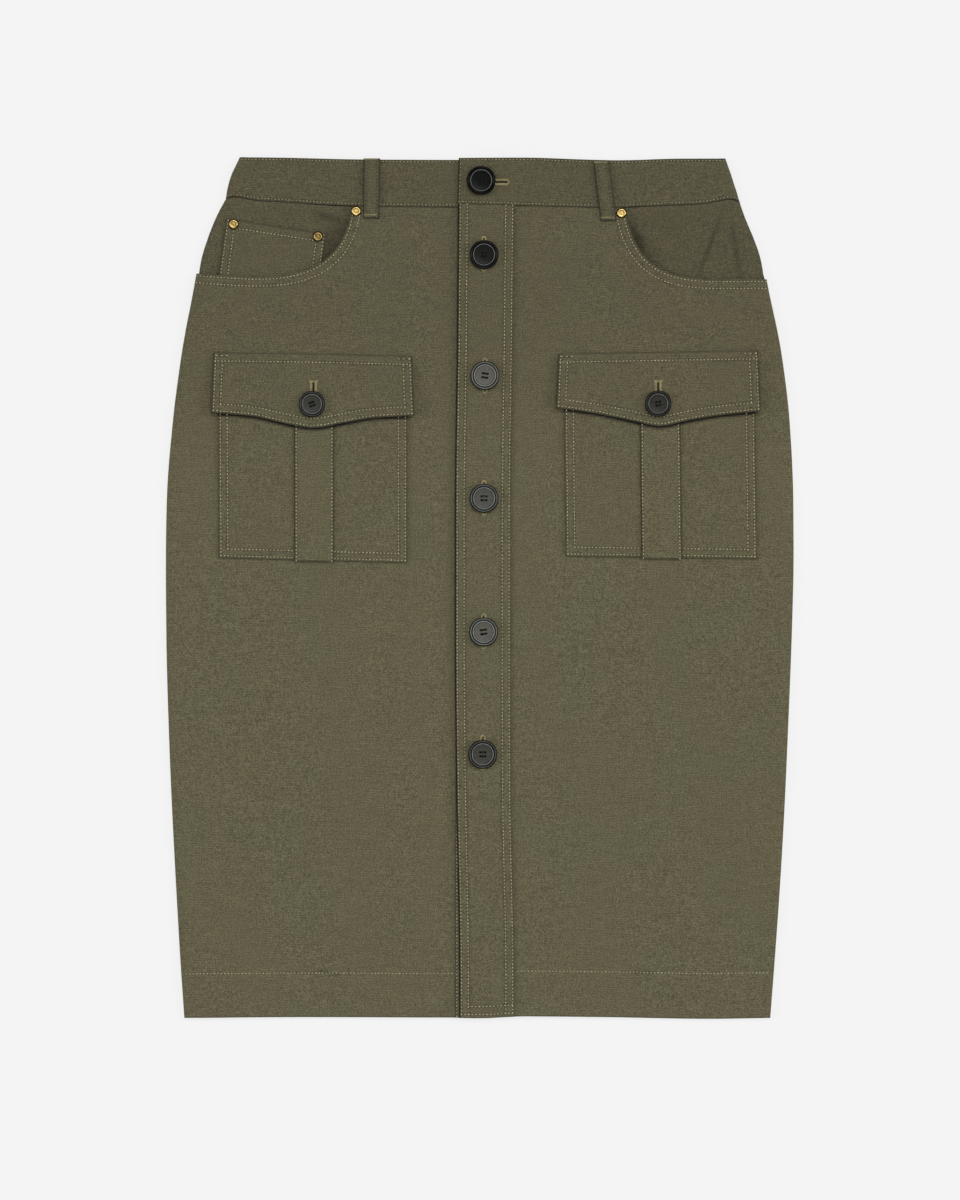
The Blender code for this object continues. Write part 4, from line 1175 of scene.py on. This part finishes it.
class SKIRT_OT_cargo_pockets(Operator):
    """Lay the cargo pockets, the strips down their middles and their flaps"""
    bl_idname = "skirt.cargo_pockets"
    bl_label = "Cargo Pockets"

    def execute(self, context):
        for side in UPRIGHTS:
            pocket, strip, flap = (
                kind + side for kind in ("cargo_pocket_", "pocket_strip_", "pocket_flap_"))
            lay_cloth(
                pocket, {"left": 0.35, "right": 0.35, "bottom": 0.3}, ["front_panel_" + side],
                spacing=1.6, turned=7.3, tone=0.965, flap=flap,
                rows=(*rows_along(UPRIGHTS, EDGE_ROWS, end=0.0),
                      *rows_along(("bottom",), EDGE_ROWS)))
            lay_cloth(
                strip, {"left": 0.65, "right": 0.6, "bottom": 0.4}, [pocket], spacing=1.6,
                flap=flap, rows=(Row("left", 1.6, 0.5, 0.0), Row("right", 1.8, 0.5, 0.0)))
            lay_cloth(
                flap, {"left": 0.6, "right": 0.6, "bottom": 0.5, "top": 0.35},
                [pocket, strip], spacing=2.2, wall=FOLDED, tone=0.97,
                rows=(Row("top", 6.5, 1.0, -1.0), Row("top", 2.3, 2.5, 10.0),
                      Row("top", 2.3, -10.0, -2.5), *rows_along(("left", "right", "bottom"), EDGE_ROWS)))
        return {"FINISHED"}


class SKIRT_OT_buttonholes(Operator):
    """Sew the buttonholes"""
    bl_idname = "skirt.buttonholes"
    bl_label = "Buttonholes"

    def execute(self, context):
        for hole in BUTTONHOLES:
            angle = radians(hole.turn)
            spin = np.array([[cos(angle), sin(angle)], [-sin(angle), cos(angle)]])

            def laid(path, spacing=0.4, lift=0.05):
                path = np.array(path)
                path = along_line(path, np.arange(0.0, arc(path)[-1] + 0.01, spacing))
                return laid_on(hole.piece, path @ spin + (hole.x, hole.y), lift)

            half, reach = hole.half_length, hole.gap + hole.bar / 2.0
            if hole.tack:
                lines = [laid([(-half, y), (half, y)]) for y in (-reach, reach)]
                bar = laid([(half, -hole.tack / 2.0), (half, hole.tack / 2.0)], lift=0.1)
            else:
                straight = half - reach - hole.bar / 2.0
                bends = [pi * (k / 24.0 - 0.5) for k in range(25)]
                path = [(straight + reach * cos(t), reach * sin(t)) for t in bends]
                path += [(-x, -y) for x, y in path]
                lines = [laid(path + path[:1])]
            sew("buttonhole_" + hole.name, lines, thread("buttonhole"),
                pitch=0.46, stitch=hole.bar, width=0.44, rise=0.7)
            if hole.tack:
                sew("tack_" + hole.name, [bar], thread("buttonhole"),
                    pitch=0.55, stitch=1.5, width=0.42, rise=0.75)
            # A dark strip of painted shadow inside the cut.
            cut = laid([(CUT_SHORT - half, 0.0), (half - CUT_SHORT, 0.0)], 1.0, 0.0)
            add_slit_shadow("slit_" + hole.name, cut, hole.gap + CUT_WIDER, angle)
        return {"FINISHED"}


class SKIRT_OT_buttons(Operator):
    """Sew on the buttons"""
    bl_idname = "skirt.buttons"
    bl_label = "Buttons"

    def execute(self, context):
        for button in BUTTONS:
            base, radius, height = measured(button.name)
            profile = [
                row._replace(wear=row.wear * (1.0 - button.depth))
                if row.radius > BUTTON_RIM and row.wear > 0.0 else row for row in BUTTON_PROFILE]
            blank = lathe(button.name, profile, radius, height, segments=72)
            drilled = pierced(blank, context.scene.skirt_buttons.hole / 2.0, button.across, button.along)
            place_round(button.name, drilled, base, button.turn, resin_material(button.depth))
            spin = Matrix.Rotation(radians(button.turn), 2)
            face = base.z + BUTTON_FACE * height - THREAD_SINK
            lines = [
                [(*(base.xy + spin @ Vector((0.0, y + step))), face)
                 for step in (-TACK_PITCH, TACK_PITCH)]
                for y in (-button.along / 2.0, button.along / 2.0)]
            sew("thread_" + button.name, lines, thread("button"), TACK_PITCH,
                stitch=button.across + THREAD_OVER, width=0.55, rise=0.8)
        return {"FINISHED"}


class SKIRT_OT_rivets(Operator):
    """Press in the rivets"""
    bl_idname = "skirt.rivets"
    bl_label = "Rivets"

    def execute(self, context):
        for number, rivet in enumerate(RIVETS):
            base, radius, height = measured(rivet.name)
            profile = [row._replace(wear=row.wear + rivet.polish * (row.radius < RIVET_CAP))
                       for row in RIVET_PROFILE]
            cap = lathe(rivet.name, profile, radius, height, segments=48, dimple=0.06)
            place_round(rivet.name, cap, base, RIVET_TURN * number, brass_material())
        return {"FINISHED"}


class SKIRT_OT_stage(Operator):
    """Set the floor, the light and the camera"""
    bl_idname = "skirt.stage"
    bl_label = "Stage"

    def execute(self, context):
        settings = context.scene.skirt_stage
        # Opal acrylic, matt and lit from behind, as a light table: hardly any shadow shows.
        opal, _, _ = new_material("opal_acrylic_backlit", {
            "Base Color": rgba([(1.0 - settings.glow) * part for part in settings.floor]),
            "Emission Color": rgba(settings.floor), "Emission Strength": settings.glow,
            "Roughness": 1.0, "Specular IOR Level": 0.0})
        sheet = bpy.data.meshes.new("floor")
        sheet.from_pydata(
            [(x * FLOOR_REACH * MM, y * FLOOR_REACH * MM, -FLOOR_DROP * MM)
             for x, y in ((-1, -1), (1, -1), (1, 1), (-1, 1))], [], [(0, 1, 2, 3)])
        sheet.materials.append(opal)
        add_object("floor", sheet)

        world = bpy.data.worlds.new("studio")
        world.use_nodes = True
        sky = world.node_tree.nodes["Background"].inputs
        sky["Color"].default_value = (1.0, 1.0, 1.0, 1.0)
        sky["Strength"].default_value = settings.fill
        context.scene.world = world

        for soft in SOFT_LIGHTS:
            light = bpy.data.lights.new(soft.name, "SUN")
            rise = radians(soft.elevation)
            light.energy = pi * settings.light * soft.share / sin(rise)
            light.angle = radians(soft.spread)
            add_object(soft.name, light).rotation_euler = (
                radians(90.0 - soft.elevation), 0.0, radians(180.0 - soft.bearing))

        lens = bpy.data.cameras.new("camera")
        lens.clip_end = 50.0
        distance = settings.camera_height - SHARP_HEIGHT * MM
        lens.lens = SENSOR * distance / settings.view_height
        camera = add_object("camera", lens)
        camera.location = (*(shift * MM for shift in CAMERA_SHIFT), settings.camera_height)
        context.scene.camera = camera
        context.scene.view_settings.view_transform = "Standard"
        return {"FINISHED"}


class SKIRT_PT_sidebar(Panel):
    """Buttons and settings of the skirt"""
    bl_label = "Skirt"
    bl_idname = "SKIRT_PT_sidebar"
    bl_space_type = "VIEW_3D"
    bl_region_type = "UI"
    bl_category = "Skirt"

    def draw(self, context):
        for operator in OPERATORS:
            self.layout.operator(operator.bl_idname)
        for name, group in SETTINGS.items():
            box = self.layout.box()
            box.label(text=group.__doc__)
            for key in group.__annotations__:
                box.prop(getattr(context.scene, name), key)


OPERATORS = (
    SKIRT_OT_back, SKIRT_OT_hip_pockets, SKIRT_OT_fronts, SKIRT_OT_centre_front,
    SKIRT_OT_waistband, SKIRT_OT_belt_loops, SKIRT_OT_cargo_pockets,
    SKIRT_OT_buttonholes, SKIRT_OT_buttons, SKIRT_OT_rivets, SKIRT_OT_stage,
)
SETTINGS = {
    "skirt_fabric": FabricSettings, "skirt_stitching": StitchSettings,
    "skirt_buttons": ButtonSettings, "skirt_rivets": RivetSettings,
    "skirt_stage": StageSettings,
}


def register():
    for kind in (*SETTINGS.values(), *OPERATORS, SKIRT_PT_sidebar):
        bpy.utils.register_class(kind)
    for name, group in SETTINGS.items():
        setattr(bpy.types.Scene, name, PointerProperty(type=group))


def unregister():
    for name in SETTINGS:
        delattr(bpy.types.Scene, name)
    for kind in (SKIRT_PT_sidebar, *reversed(OPERATORS), *SETTINGS.values()):
        bpy.utils.unregister_class(kind)


def main():
    register()
    bpy.ops.skirt.back()
    bpy.ops.skirt.hip_pockets()
    bpy.ops.skirt.fronts()
    bpy.ops.skirt.centre_front()
    bpy.ops.skirt.waistband()
    bpy.ops.skirt.belt_loops()
    bpy.ops.skirt.cargo_pockets()
    bpy.ops.skirt.buttonholes()
    bpy.ops.skirt.buttons()
    bpy.ops.skirt.rivets()
    bpy.ops.skirt.stage()


if __name__ == "__main__":
    main()
